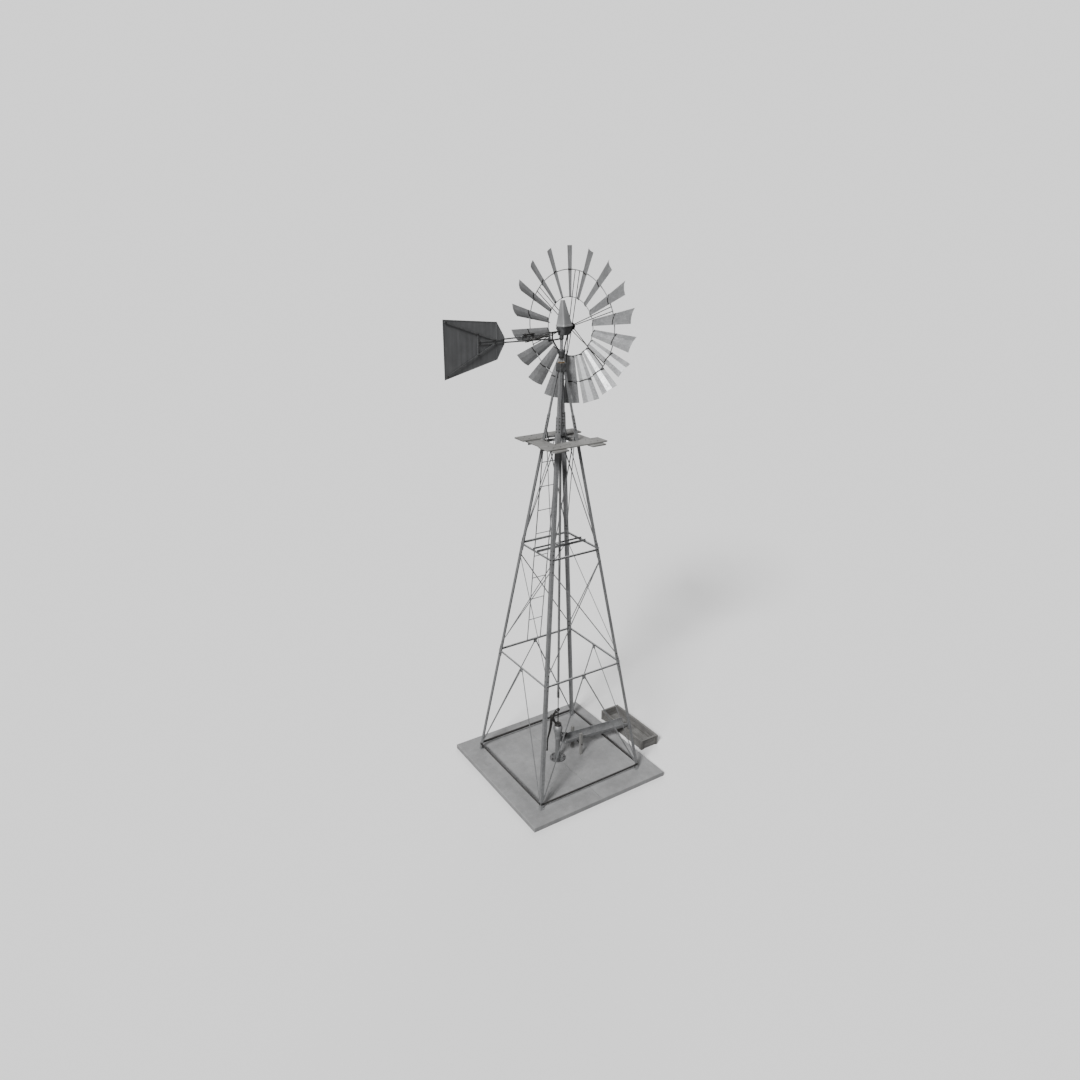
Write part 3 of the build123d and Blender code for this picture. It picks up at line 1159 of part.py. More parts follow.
def build_wheel():
    outer = [ring_arc(RING_OUT_R, RING_OUT_TUBE, 0, 60 * i, 60) for i in range(6)]
    inner = [ring_arc(RING_IN_R, RING_IN_TUBE, RING_IN_X, 60 * i, 60) for i in range(6)]
    blades, clips, arms = [], [], []
    one_blade = blade_strip(BLADE_INNER_R, WHEEL_R, -BLADE_T / 2, BLADE_T / 2)
    inward, outward, thick = CLIP_OUT
    one_clip = blade_strip(RING_OUT_R + inward, RING_OUT_R + outward, CLIP_SEAT, CLIP_SEAT + thick)
    inward, outward, thick = CLIP_IN
    one_foot = blade_strip(RING_IN_R + inward, RING_IN_R + outward, CLIP_SEAT, CLIP_SEAT + thick)
    ring_pieces = [ring_arc(RING_OUT_R, RING_OUT_TUBE, 0, -12, 24),
                   ring_arc(RING_IN_R, RING_IN_TUBE, RING_IN_X, -12, 24)]
    one_blade = one_blade - ring_pieces
    one_clip = one_clip - ring_pieces
    one_foot = one_foot - ring_pieces
    for i in range(BLADES):
        angle = BLADE_START + 360 / BLADES * i
        blades.append(clockwise(one_blade, angle))
        clips.append(clockwise(one_clip, angle))
        clips.append(clockwise(one_foot, angle))
    hub_x = [x - WHEEL_X for x in HUB_X]
    arm_sets = []
    for x, rim_x, lean in ((hub_x[0], -ARM_RIM_X, -ARM_SPREAD), (hub_x[1], ARM_RIM_X, ARM_SPREAD)):
        a = radians(lean)
        bar = rod_between((x, 0, 40), (rim_x, -RING_OUT_R * sin(a), RING_OUT_R * cos(a)), ARM_R)
        arm_sets.append(bar - ring_arc(RING_OUT_R, RING_OUT_TUBE, 0, -20, 40))
    for i in range(ARMS):
        for bar in arm_sets:
            arms.append(clockwise(bar, ARM_START + 360 / ARMS * i))
    add("wheel_rings", at_wheel(outer + inner))
    add("wheel_blades", at_wheel(blades))
    add("blade_clips", at_wheel(clips))

    shaft = x_cylinder(SHAFT_R, SHAFT_X[0] - WHEEL_X, SHAFT_X[1] - WHEEL_X, 0, 0)
    pinions = []
    for x in (GEAR_X - 1, -GEAR_X - GEAR_T - 1):
        plane = Plane(origin=(x - WHEEL_X, 0, 0), x_dir=(0, 1, 0), z_dir=(1, 0, 0))
        pinions.append(extrude(plane * toothed(PINION_R, PINION_TEETH, MESH_ANGLE + pi), GEAR_T + 2))
    shaft = shaft + pinions
    barrel = x_cylinder(HUB_BARREL_R, HUB_X[0] - 8 - WHEEL_X, HUB_X[1] + 8 - WHEEL_X, 0, 0)
    for x in hub_x:
        barrel += x_cylinder(HUB_FLANGE_R, x - 8, x + 8, 0, 0)
    hub = barrel - x_cylinder(SHAFT_R, -200, 200, 0, 0)
    hub = hub - arms
    arms = [a - hub_core() for a in arms]
    nut_r, nut_t = HUB_NUT
    nut = extrude(Plane(origin=(HUB_X[1] + 8 - WHEEL_X, 0, 0), x_dir=(0, 1, 0), z_dir=(1, 0, 0))
                  * RegularPolygon(nut_r, 6), nut_t) - shaft
    add("wheel_arms", at_wheel(arms))
    add("wheel_shaft", at_wheel([shaft]))
    add("wheel_hub", at_wheel([hub]))
    add("wheel_hub", at_wheel([nut]))


def hub_core():
    """The space inside the hub's barrel, where no arm reaches."""
    return x_cylinder(HUB_BARREL_R + 1, -120, 120, 0, 0)


# ---- Tail: in the head's axes, X is negative away from the mast ----
def side_plate(points, y0, y1):
    """A plate from an (x, z) outline between two Y values."""
    corners = [Vector(x, y0, up(z)) for x, z in points]
    return Solid.extrude(Face(Wire.make_polygon(corners, close=True)), Vector(0, y1 - y0, 0))


def side_bar(a, b, width, y0, y1):
    """A flat bar in the tail's plane."""
    (ax, az), (bx, bz) = a, b
    run = sqrt((bx - ax) ** 2 + (bz - az) ** 2)
    sx, sz = -(bz - az) / run * width / 2, (bx - ax) / run * width / 2
    corners = [(ax - sx, az - sz), (bx - sx, bz - sz), (bx + sx, bz + sz), (ax + sx, az + sz)]
    return side_plate(corners, y0, y1)


def build_tail():
    outline = VANE_OUTLINE
    sheet = side_plate(outline, -1, 1)
    border = side_plate(outline, -VANE_HEM, VANE_HEM)
    face = make_face(Polyline(*outline, close=True))
    window = offset(face, -VANE_FOLD, kind=Kind.INTERSECTION)
    hem = border - Pos(0, 50, SLAB_T) * extrude(Plane.XZ * window, 100)
    far_x, near_x = VANE_BEAD_X
    bead = side_plate([(near_x, 7722), (near_x, 8250), (far_x, 8250), (far_x, 7722)], -VANE_HEM, VANE_HEM)
    vane = sheet + hem + bead
    outside = VANE_HEM + CHORD_T
    chords = []
    for near, far in ((-outside, -VANE_HEM), (VANE_HEM, outside)):
        chords.extend(side_bar(start, end, CHORD_H, near, far) for start, end in CHORDS)
    low, high = HINGE_TUBE_Z
    knuckle = Pos(HINGE_X, 0, 0) * tube(KNUCKLE_R, HINGE_R + RUN_GAP, up(low), up(high))
    post = Pos(HINGE_X, 0, 0) * tube(KNUCKLE_R, 0, up(low - 10), up(high + 10))
    chords = [c - post for c in chords]
    add("hinge_tube", in_head([knuckle]))

    strut = side_plate(TAIL_STRUT, -VANE_HEM + 0.5, VANE_HEM - 0.5)
    back = outside + STIFFENER_T
    stiffeners = [side_bar(start, end, STIFFENER_W, -back, -outside) for start, end in STIFFENERS]
    stiffeners.append(side_plate(VANE_CLIP, -outside, -VANE_HEM))
    shank_r, head_r, nut_r = TAIL_BOLT
    bolts = []
    for spots, reach in ((VANE_BOLTS, back), (STRUT_BOLTS, outside)):
        for x, z in spots:
            bolts.append(rod_between((x, -reach, up(z)), (x, outside, up(z)), shank_r)
                         + rod_between((x, -reach - BOLT_HEAD, up(z)), (x, -reach, up(z)), head_r)
                         + rod_between((x, outside, up(z)), (x, outside + BOLT_HEAD, up(z)), nut_r))
    chords = [cut(c, bolts) for c in chords]
    add("tail_chords", in_head(chords))
    add("tail_chords", in_head([cut(strut, bolts)]))
    add("tail_vane", in_head([cut(vane, bolts)]))
    add("vane_stiffeners", in_head([cut(s, bolts) for s in stiffeners]))
    add("tail_bolts", in_head(bolts))

    (x0, z0), (_, z1), (x1, z2), (_, z3) = CLAMP_LINE
    clamp = side_plate(CLAMP_LINE, -outside - 8, -outside)
    clamp += side_plate([(x0, z0 + 3), (x0, z1), (x1, z2), (x1, z3 + 3)], -outside, outside)
    add("furl_fittings", in_head([clamp - chords]))
    x, z, ring_r, wire_r = PULLEY
    ring = Pos(x, 0, up(z)) * Rot(90, 0, 0) * Torus(ring_r, wire_r)
    ring += rod_between((x, 0, up(z + ring_r + 2)), (x, 0, up(z + 39)), wire_r)
    add("furl_fittings", in_head([ring]))

    (x0, z0), (x1, z1) = SPRING_FROM, SPRING_TO
    y = -outside - SPRING_OUT
    start, end = Vector(x0, y, up(z0)), Vector(x1, y, up(z1))
    length = (end - start).length
    path = Helix(length / SPRING_TURNS, length, SPRING_R, direction=(0, 0, 1))
    wire = Plane(origin=path @ 0, z_dir=path % 0) * Circle(SPRING_WIRE)
    coil = Plane(origin=start, z_dir=end - start).location * sweep(wire, path=path)
    add("tail_spring", in_head([coil]))
    hooks = [rod_between((x, y, up(z + 1)), (x, -outside, up(z + 1)), shank_r)
             for x, z in ((x0 + 7, z0), (x1 - 7, z1))]
    add("tail_bolts", in_head(hooks))


tower_bolts, cap_bolts, legs, anchors = build_tower()
add("tower_bolts", tower_bolts + cap_bolts)
build_slab(anchors)
build_platform()
build_bearers(tower_bolts)
build_ladder()
build_cap(legs, cap_bolts)
build_rod_guides()
build_pump()
build_handle()
build_rod()
build_chute()
build_tank()
build_head(build_gears())
build_mast_fittings()
build_crosshead()
build_wheel()
build_tail()

os.makedirs("parts", exist_ok=True)
for name, solids in NODES.items():
    export_step(Compound(children=solids), f"parts/{name}.step")
print(len(NODES), "nodes")
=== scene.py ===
import json
import math

import bmesh
import bpy
from mathutils import Matrix, Vector, noise


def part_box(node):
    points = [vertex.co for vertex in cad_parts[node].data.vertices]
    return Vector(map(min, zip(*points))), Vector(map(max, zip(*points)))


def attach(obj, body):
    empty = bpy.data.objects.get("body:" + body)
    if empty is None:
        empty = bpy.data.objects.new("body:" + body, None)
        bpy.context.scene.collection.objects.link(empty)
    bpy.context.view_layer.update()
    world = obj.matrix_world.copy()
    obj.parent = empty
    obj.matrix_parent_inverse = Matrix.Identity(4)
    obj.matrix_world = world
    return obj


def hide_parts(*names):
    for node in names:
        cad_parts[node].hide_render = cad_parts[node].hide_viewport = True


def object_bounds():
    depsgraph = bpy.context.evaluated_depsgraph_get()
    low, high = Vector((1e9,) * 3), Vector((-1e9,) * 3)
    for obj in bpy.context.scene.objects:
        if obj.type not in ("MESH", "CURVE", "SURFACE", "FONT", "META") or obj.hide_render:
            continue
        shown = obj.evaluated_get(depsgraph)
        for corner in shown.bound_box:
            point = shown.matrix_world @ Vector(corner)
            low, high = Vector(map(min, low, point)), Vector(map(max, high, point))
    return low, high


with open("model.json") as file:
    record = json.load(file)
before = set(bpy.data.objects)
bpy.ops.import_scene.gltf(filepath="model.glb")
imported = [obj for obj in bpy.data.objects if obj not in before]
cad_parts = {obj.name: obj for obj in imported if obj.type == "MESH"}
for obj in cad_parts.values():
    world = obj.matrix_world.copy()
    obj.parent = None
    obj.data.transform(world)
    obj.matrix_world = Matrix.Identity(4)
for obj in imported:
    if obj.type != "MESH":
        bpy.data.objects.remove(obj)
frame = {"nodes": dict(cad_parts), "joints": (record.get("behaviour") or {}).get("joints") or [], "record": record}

CAD_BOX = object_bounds()
NODES = frame["nodes"]
RECORD = frame["record"]
SLOT_OF = {part["node"]: part["material_slot"] for part in RECORD["subparts"]}
WHEEL_SPIN = next(joint for joint in frame["joints"] if joint["name"] == "wheel_spin")
HEAD_TURN = Matrix.Rotation(math.atan2(WHEEL_SPIN["axis"][1], WHEEL_SPIN["axis"][0]), 3, "Z")

# ---- Camera, floor and lights ----
CAMERA_PLACE = (-7.4217, -10.9241, 9.7055)
CAMERA_DOWN = 21.2656       # degrees below the horizon
CAMERA_TURN = -32.7218      # degrees about +Z from looking along +Y
CAMERA_LENS = 27.444
SENSOR = 36.0
FLOOR_RADIUS = 3000.0
FLOOR_GREY = 0.90
BACKDROP = 1.326            # brightness of the studio behind the floor
AMBIENT = 0.22              # brightness of the soft light from all round
# Each light's name, the direction it comes from, its power, and its apparent size in degrees.
LIGHTS = (("key", (-0.663, -0.386, 0.642), 5.0, 14), ("fill", (0.554, 0.654, 0.515), 1.4, 40))
FLOOR_SIDES = 64

# ---- Sizes that the frame's boxes don't give, in metres ----
GROUND = 0.090              # top of the slab

# Platform and weathered boards
DECK_HALF_X = 0.585
DECK_Y = (0.226, 0.506)     # edges of an upper board
CROSS_X = (0.224, 0.500)    # edges of a lower board
DECK_CORNER = 0.010
PLANK_STEP = 0.035          # between a board's cross-sections
PLANK_EDGE = 0.003
PLANK_ENDS = (0.0, 0.002, 0.006, 0.014)     # the first cross-sections from each end
PLANK_INNER = 0.03          # where the even ones begin
PLANK_WORN = 0.0012
END_FRAY = 0.0016           # how far a board's end is worn back
END_SPLIT = 0.012           # how deep its splits go
TANK_WORN = 0.0008

# Trough
TANK_WALL = 0.024
COURSE_GAP = 0.003
TANK_FLOOR = (0.012, 0.032)                 # underside and top
FLOOR_GAP = 0.0004          # from a floor board's edge to the middle of the gap beside it
BATTEN = (0.014, 0.045)     # thickness and width
TANK_STRAP = 0.050
RIM_OUT = 0.016
RIM_IN = 0.010
TRIM_DROP = 0.002           # from the boards' top to the battens'
NAIL_SHARES = (0.3, 0.75, 1.3, 1.75)        # heights of the nails, in courses
NAIL_IN = 0.012             # from a board's edge, and either side of a strap's middle
NAIL_R = 0.0042
NAIL_RISE = 0.0016
NAIL_SUNK = 0.0006          # below the rim's flat top, where the wood has worn
RIM_NAILS = 6               # along each long side
RIM_NAILS_END = 0.02
END_NAILS = (0.1365, 0.2535)                # across each short side

# Rivet and nail heads
DOME_SIDES = 10
DOME_RINGS = ((1.0, -0.3), (1.0, 0.25), (0.82, 0.68), (0.45, 0.93))     # shares of radius and rise

# Wheel
BLADES = 18
BLADE_START = -1.7          # degrees
BLADE_INNER = 0.450         # radii of a blade's ends
BLADE_OUTER = 1.222
BLADE_T = 0.002
BLADE_HALF_OUT = (0.111, 0.078)             # half chord along the rim and along the shaft
BLADE_HALF_IN = (0.049, 0.034)
BLADE_KNEE = 0.36           # share of the half chord where the sheet bends
CAMBER = 0.11               # depth of the curve, as a share of the chord
RING_OUT = 0.868            # radii of the rings
RING_IN = 0.458
CLIP_OUT_T = 0.004
CLIP_IN_T = 0.003
CLIP_IN_UP = 0.002          # from the inner ring to its clips' rivets
CLIP_OFF = 0.0002           # from the sheet to a clip
BLADE_RIVET_ACROSS = 0.74   # share of the half chord
BLADE_RIVET = (0.0048, 0.0024)              # radius and rise

# Tail
VANE_OUTLINE = ((-2.495, 8.370), (-1.459, 8.254), (-1.300, 8.026), (-1.300, 7.927),
                (-1.459, 7.718), (-2.498, 7.557))
VANE_HEM_T = 0.003
VANE_HEM_IN = 0.009
VANE_RIVET_PITCH = 0.085
VANE_RIVET = (0.0042, 0.0022)

STRAP_X = (-0.690, -0.850)  # the straps that hold the furl bar down, along the tail
STRAP_W = 0.018
STRAP_T = 0.003
CHORD_FACE = 0.011          # outer faces of the tail's chords, either side of its middle
CHORD_LINE = ((-0.291, 7.970), (-1.834, 8.010))
CHORD_H = 0.020
FURL_BAR = ((-0.655, 8.003, 8.022), (-0.896, 8.009, 8.028))     # place, underside and top of its ends
FURL_BAR_OUT = 0.008        # how far it stands past the chords on one side
STRAP_FOOT = 0.012          # from the chords' underside to the straps' ends
STRAP_EDGE = 0.0006
PACKING_SINK = 0.001        # how far a packing block is let into the bars above and below it
STRAP_BOLT_UP = 0.006       # from a strap's end to its bolt
STRAP_BOLT_HALF = 0.003
STRAP_BOLT_HEAD = (0.0055, 0.0035)          # radius and rise

# ---- Colours that weather adds ----
ZINC_RUST = (0.21, 0.115, 0.06)
IRON_RUST = (0.11, 0.050, 0.024)
PAINT_RUST = (0.19, 0.095, 0.048)
RUBBED_IRON = (0.20, 0.195, 0.19)
WOOD_SPLIT = (0.035, 0.030, 0.026)
DARK_STONE = (0.12, 0.117, 0.112)
PALE_GRIT = (0.35, 0.346, 0.335)
CRACK = (0.09, 0.085, 0.08)
WORN_CONCRETE = (0.42, 0.415, 0.405)
EDGE_TURN = (0.99, 0.88)    # cosines of the turn of a rounded normal, where wear begins and is full


def make_camera():
    data = bpy.data.cameras.new("camera")
    data.lens = CAMERA_LENS
    data.sensor_width = SENSOR
    data.clip_start = 0.1
    data.clip_end = 2 * FLOOR_RADIUS
    camera = bpy.data.objects.new("camera", data)
    camera.location = CAMERA_PLACE
    camera.rotation_euler = (math.radians(90 - CAMERA_DOWN), 0, math.radians(CAMERA_TURN))
    bpy.context.scene.collection.objects.link(camera)
    bpy.context.scene.camera = camera


def make_floor():
    """A plain pale floor under the slab, out to the horizon; it throws no light back on the piece."""
    mesh = bpy.data.meshes.new("floor")
    low = CAD_BOX[0].z
    turns = [math.tau * i / FLOOR_SIDES for i in range(FLOOR_SIDES)]
    rim = [(FLOOR_RADIUS * math.cos(a), FLOOR_RADIUS * math.sin(a), low) for a in turns]
    mesh.from_pydata(rim, [], [range(len(rim))])
    floor = bpy.data.objects.new("floor", mesh)
    floor.visible_diffuse = False
    floor.visible_glossy = False
    bpy.context.scene.collection.objects.link(floor)
    material = bpy.data.materials.new("floor")
    material.use_nodes = True
    shader = material.node_tree.nodes["Principled BSDF"]
    shader.inputs["Base Color"].default_value = (FLOOR_GREY, FLOOR_GREY, FLOOR_GREY, 1)
    shader.inputs["Roughness"].default_value = 1.0
    shader.inputs["Specular IOR Level"].default_value = 0.0
    mesh.materials.append(material)


def make_lights():
    """A soft key light, a weaker one behind, and an even studio round them that is pale to look at."""
    world = bpy.data.worlds.new("studio")
    world.use_nodes = True
    tree = world.node_tree
    around = tree.nodes["Background"]
    around.inputs["Color"].default_value = (1, 1, 1, 1)
    around.inputs["Strength"].default_value = AMBIENT
    seen = tree.nodes.new("ShaderNodeBackground")
    seen.inputs["Color"].default_value = (1, 1, 1, 1)
    seen.inputs["Strength"].default_value = BACKDROP
    either = tree.nodes.new("ShaderNodeMixShader")
    tree.links.new(tree.nodes.new("ShaderNodeLightPath").outputs["Is Camera Ray"], either.inputs[0])
    tree.links.new(around.outputs[0], either.inputs[1])
    tree.links.new(seen.outputs[0], either.inputs[2])
    tree.links.new(either.outputs[0], tree.nodes["World Output"].inputs["Surface"])
    bpy.context.scene.world = world

    for name, direction, power, size in LIGHTS:
        data = bpy.data.lights.new(name, "SUN")
        data.energy = power
        data.angle = math.radians(size)
        light = bpy.data.objects.new(name, data)
        light.rotation_euler = Vector(direction).to_track_quat("Z", "Y").to_euler()
        bpy.context.scene.collection.objects.link(light)


# ---- Material nodes ----
class Finish:
    """Makes and joins the nodes of one material."""

    def __init__(self, name):
        self.material = bpy.data.materials.new(name)
        self.material.use_nodes = True
        self.tree = self.material.node_tree
        self.shader = self.tree.nodes["Principled BSDF"]
        self.place = self.node("ShaderNodeTexCoord").outputs["Object"]

    def node(self, kind, values=None, **settings):
        made = self.tree.nodes.new(kind)
        for key, value in settings.items():
            setattr(made, key, value)
        for key, value in (values or {}).items():
            self.give(made.inputs[key], value)
        return made

    def give(self, socket, value):
        if isinstance(value, bpy.types.NodeSocket):
            self.tree.links.new(value, socket)
        else:
            socket.default_value = value

    def stretched(self, scale):
        """The place on the piece, scaled along each axis."""
        return self.node("ShaderNodeMapping", {"Vector": self.place, "Scale": scale}).outputs["Vector"]

    def noise(self, scale, detail=4, rough=0.55, bend=0.0, at=None):
        values = {"Vector": at or self.place, "Scale": scale, "Detail": detail, "Roughness": rough,
                  "Distortion": bend}
        return self.node("ShaderNodeTexNoise", values).outputs["Fac"]

    def cells(self, scale, feature="F1", output="Color", at=None):
        values = {"Vector": at or self.place, "Scale": scale}
        return self.node("ShaderNodeTexVoronoi", values, feature=feature).outputs[output]

    def grey(self, colour):
        return self.node("ShaderNodeSeparateColor", {"Color": colour}).outputs["Red"]

    def span(self, value, low, high, to_low=0.0, to_high=1.0):
        """Stretch a value's range from low..high to another range, and hold it there."""
        values = {"Value": value, "From Min": low, "From Max": high, "To Min": to_low, "To Max": to_high}
        return self.node("ShaderNodeMapRange", values).outputs["Result"]

    def math(self, operation, a, b):
        made = self.node("ShaderNodeMath", operation=operation)
        self.give(made.inputs[0], a)
        self.give(made.inputs[1], b)
        return made.outputs["Value"]

    def times(self, a, b):
        return self.math("MULTIPLY", a, b)

    def weigh(self, *shares):
        """The sum of some values, each times its weight."""
        total, *rest = [self.times(value, weight) for value, weight in shares]
        for part in rest:
            total = self.math("ADD", total, part)
        return total

    def mix(self, share, a, b):
        made = self.node("ShaderNodeMix", data_type="RGBA")
        self.give(made.inputs[0], share)
        for socket, colour in ((made.inputs[6], a), (made.inputs[7], b)):
            if not isinstance(colour, bpy.types.NodeSocket):
                colour = (*colour, 1)
            self.give(socket, colour)
        return made.outputs[2]

    def rounded(self, radius):
        """The normal with every edge rounded to a radius."""
        return self.node("ShaderNodeBevel", {"Radius": radius}, samples=4).outputs["Normal"]

    def edges(self, normal):
        """1 on edges, 0 on flat ground."""
        straight = self.node("ShaderNodeNewGeometry").outputs["Normal"]
        along = self.node("ShaderNodeVectorMath", {0: normal, 1: straight}, operation="DOT_PRODUCT")
        return self.span(along.outputs["Value"], *EDGE_TURN)

    def finish(self, colour, rough, metallic, relief, depth, normal):
        """Wire the shader; depth is the relief's height in metres."""
        self.give(self.shader.inputs["Base Color"], colour)
        self.give(self.shader.inputs["Roughness"], rough)
        self.give(self.shader.inputs["Metallic"], metallic)
        values = {"Height": relief, "Distance": depth, "Strength": 1.0, "Normal": normal}
        bump = self.node("ShaderNodeBump", values)
        self.give(self.shader.inputs["Normal"], bump.outputs["Normal"])
        return self.material


def zinc(name, dark, light, metallic=0.45, streak=(0.9, 0.9, 0.07), rust=0.35):
    """Weathered galvanised steel: spangle, chalky streaks, worn edges, and a little rust in spots."""
    f = Finish(name)
    spangle = f.grey(f.cells(62))
    fine = f.noise(240, detail=5)
    patches = f.noise(2.3, detail=6, rough=0.6, bend=0.6)
    run = f.noise(26, detail=5, rough=0.6, bend=0.2, at=f.stretched(streak))
    shade = f.weigh((spangle, 0.26), (patches, 0.62), (fine, 0.12))
    colour = f.mix(f.span(shade, 0.22, 0.72), dark, light)
    chalk = f.span(run, 0.54, 0.74)
    colour = f.mix(f.times(chalk, 0.42), colour, [1.25 * c for c in light])
    soft = f.rounded(0.0022)
    wear = f.times(f.edges(soft), f.span(f.noise(38, detail=5, rough=0.7), 0.40, 0.62))
    colour = f.mix(f.times(wear, 0.55), colour, [1.5 * c for c in light])
    where = f.span(f.noise(1.1, detail=3), 0.45, 0.62)
    spots = f.times(f.span(f.noise(17, detail=7, rough=0.72), 0.60, 0.70), where)
    colour = f.mix(f.times(spots, rust), colour, ZINC_RUST)
    rough = f.math("ADD", f.span(shade, 0.2, 0.75, 0.36, 0.56), f.times(chalk, 0.2))
    relief = f.weigh((spangle, 0.5), (fine, 0.5))
    return f.finish(colour, rough, metallic, relief, depth=0.0004, normal=soft)


def iron(name, dark=(0.016, 0.016, 0.018), light=(0.060, 0.057, 0.053)):
    """Cast iron under old black paint, rubbed to metal on the edges."""
    f = Finish(name)
    cast = f.noise(330, detail=6, rough=0.65)
    patches = f.noise(14, detail=6, rough=0.65, bend=0.8)
    colour = f.mix(f.span(patches, 0.35, 0.70), dark, light)
    soft = f.rounded(0.0018)
    rub = f.times(f.edges(soft), f.span(f.noise(60, detail=5, rough=0.7), 0.35, 0.60))
    colour = f.mix(f.times(rub, 0.6), colour, RUBBED_IRON)
    rust = f.span(f.noise(45, detail=6, rough=0.75), 0.60, 0.74)
    colour = f.mix(f.times(rust, 0.5), colour, IRON_RUST)
    rough = f.math("SUBTRACT", f.span(patches, 0.3, 0.7, 0.48, 0.72), f.times(rub, 0.18))
    relief = f.weigh((cast, 0.6), (patches, 0.8))
    return f.finish(colour, rough, 0.45, relief, depth=0.0007, normal=soft)


def wood(name, along, dark, light):
    """Silvered softwood; along is the grain's axis, 0 to 2."""
    f = Finish(name)
    slow = [1.0, 1.0, 1.0]
    slow[along] = 0.055
    grain_at = f.stretched(slow)
    rings = f.noise(46, detail=5, rough=0.62, bend=1.1, at=grain_at)
    fibre = f.noise(300, detail=4, rough=0.6, bend=0.0, at=grain_at)
    patches = f.noise(2.6, detail=5, rough=0.6, bend=0.4)
    slow[along] = 0.025
    split = f.span(f.noise(70, detail=3, rough=0.5, bend=0.3, at=f.stretched(slow)), 0.64, 0.70)
    shade = f.weigh((rings, 0.55), (patches, 0.45))
    colour = f.mix(f.span(shade, 0.34, 0.66), dark, light)
    colour = f.mix(f.span(fibre, 0.3, 0.8, 0.0, 0.34), colour, [1.3 * c for c in light])
    colour = f.mix(split, colour, WOOD_SPLIT)
    soft = f.rounded(0.004)
    wear = f.times(f.edges(soft), f.span(f.noise(30, detail=4), 0.38, 0.62))
    colour = f.mix(f.times(wear, 0.5), colour, [1.4 * c for c in light])
    rough = f.span(fibre, 0.2, 0.8, 0.72, 0.92)
    relief = f.weigh((rings, 0.7), (fibre, 0.3))
    relief = f.math("SUBTRACT", relief, f.times(split, 0.9))
    return f.finish(colour, rough, 0.0, relief, depth=0.0016, normal=soft)


def concrete(name):
    """Pale weathered concrete with fine aggregate, stains and a few hair cracks."""
    f = Finish(name)
    broad = f.noise(1.6, detail=7, rough=0.62, bend=0.5)
    cloud = f.noise(9, detail=6, rough=0.6)
    grit = f.noise(420, detail=3, rough=0.6)
    stones = f.grey(f.cells(150))
    shade = f.weigh((broad, 0.6), (cloud, 0.4))
    colour = f.mix(f.span(shade, 0.34, 0.66), (0.183, 0.184, 0.186), (0.282, 0.283, 0.285))
    colour = f.mix(f.span(stones, 0.80, 0.96, 0.0, 0.40), colour, DARK_STONE)
    colour = f.mix(f.span(grit, 0.58, 0.75, 0.0, 0.5), colour, PALE_GRIT)
    sway = f.node("ShaderNodeTexNoise", {"Vector": f.place, "Scale": 5, "Detail": 5}).outputs["Color"]
    bent = f.node("ShaderNodeVectorMath", {0: f.place, 1: sway}, operation="ADD").outputs["Vector"]
    line = f.cells(1.15, "DISTANCE_TO_EDGE", "Distance", bent)
    crack = f.times(f.span(line, 0.0022, 0.0006), f.span(f.noise(0.7, detail=2), 0.58, 0.66))
    colour = f.mix(f.times(crack, 0.6), colour, CRACK)
    soft = f.rounded(0.006)
    wear = f.times(f.edges(soft), f.span(f.noise(22, detail=5), 0.40, 0.60))
    colour = f.mix(f.times(wear, 0.5), colour, WORN_CONCRETE)
    rough = f.span(cloud, 0.3, 0.7, 0.78, 0.94)
    relief = f.weigh((cloud, 0.6), (grit, 0.25))
    relief = f.math("SUBTRACT", relief, crack)
    return f.finish(colour, rough, 0.0, relief, depth=0.0022, normal=soft)


def painted(name, dark, light, worn):
    """Old sheet-metal paint, faded in runs, with pin rust and bare edges."""
    f = Finish(name)
    patches = f.noise(3.4, detail=6, rough=0.62, bend=0.5)
    run = f.noise(20, detail=5, rough=0.6, bend=0.2, at=f.stretched((1, 1, 0.08)))
    peel = f.noise(260, detail=4, rough=0.55)
    shade = f.weigh((patches, 0.5), (run, 0.5))
    colour = f.mix(f.span(shade, 0.36, 0.64), dark, light)
    soft = f.rounded(0.0022)
    wear = f.times(f.edges(soft), f.span(f.noise(40, detail=5, rough=0.7), 0.36, 0.60))
    colour = f.mix(f.times(wear, 0.5), colour, worn)
    where = f.span(f.noise(1.7, detail=3), 0.42, 0.60)
    rust = f.times(f.span(f.noise(36, detail=7, rough=0.75), 0.62, 0.72), where)
    colour = f.mix(f.times(rust, 0.55), colour, PAINT_RUST)
    rough = f.span(shade, 0.3, 0.7, 0.42, 0.64)
    relief = f.weigh((peel, 0.4), (patches, 0.6))
    return f.finish(colour, rough, 0.25, relief, depth=0.0006, normal=soft)


def machined(name, dark, light):
    """Turned or rubbed metal with fine lines."""
    f = Finish(name)
    lines = f.noise(60, detail=4, rough=0.6, bend=0.0, at=f.stretched((1, 1, 22)))
    patches = f.noise(12, detail=5, rough=0.6)
    shade = f.weigh((lines, 0.5), (patches, 0.5))
    colour = f.mix(f.span(shade, 0.36, 0.64), dark, light)
    soft = f.rounded(0.0012)
    colour = f.mix(f.times(f.edges(soft), 0.4), colour, [min(1, 1.3 * c) for c in light])
    rough = f.span(lines, 0.3, 0.7, 0.24, 0.44)
    return f.finish(colour, rough, 0.95, lines, depth=0.0002, normal=soft)


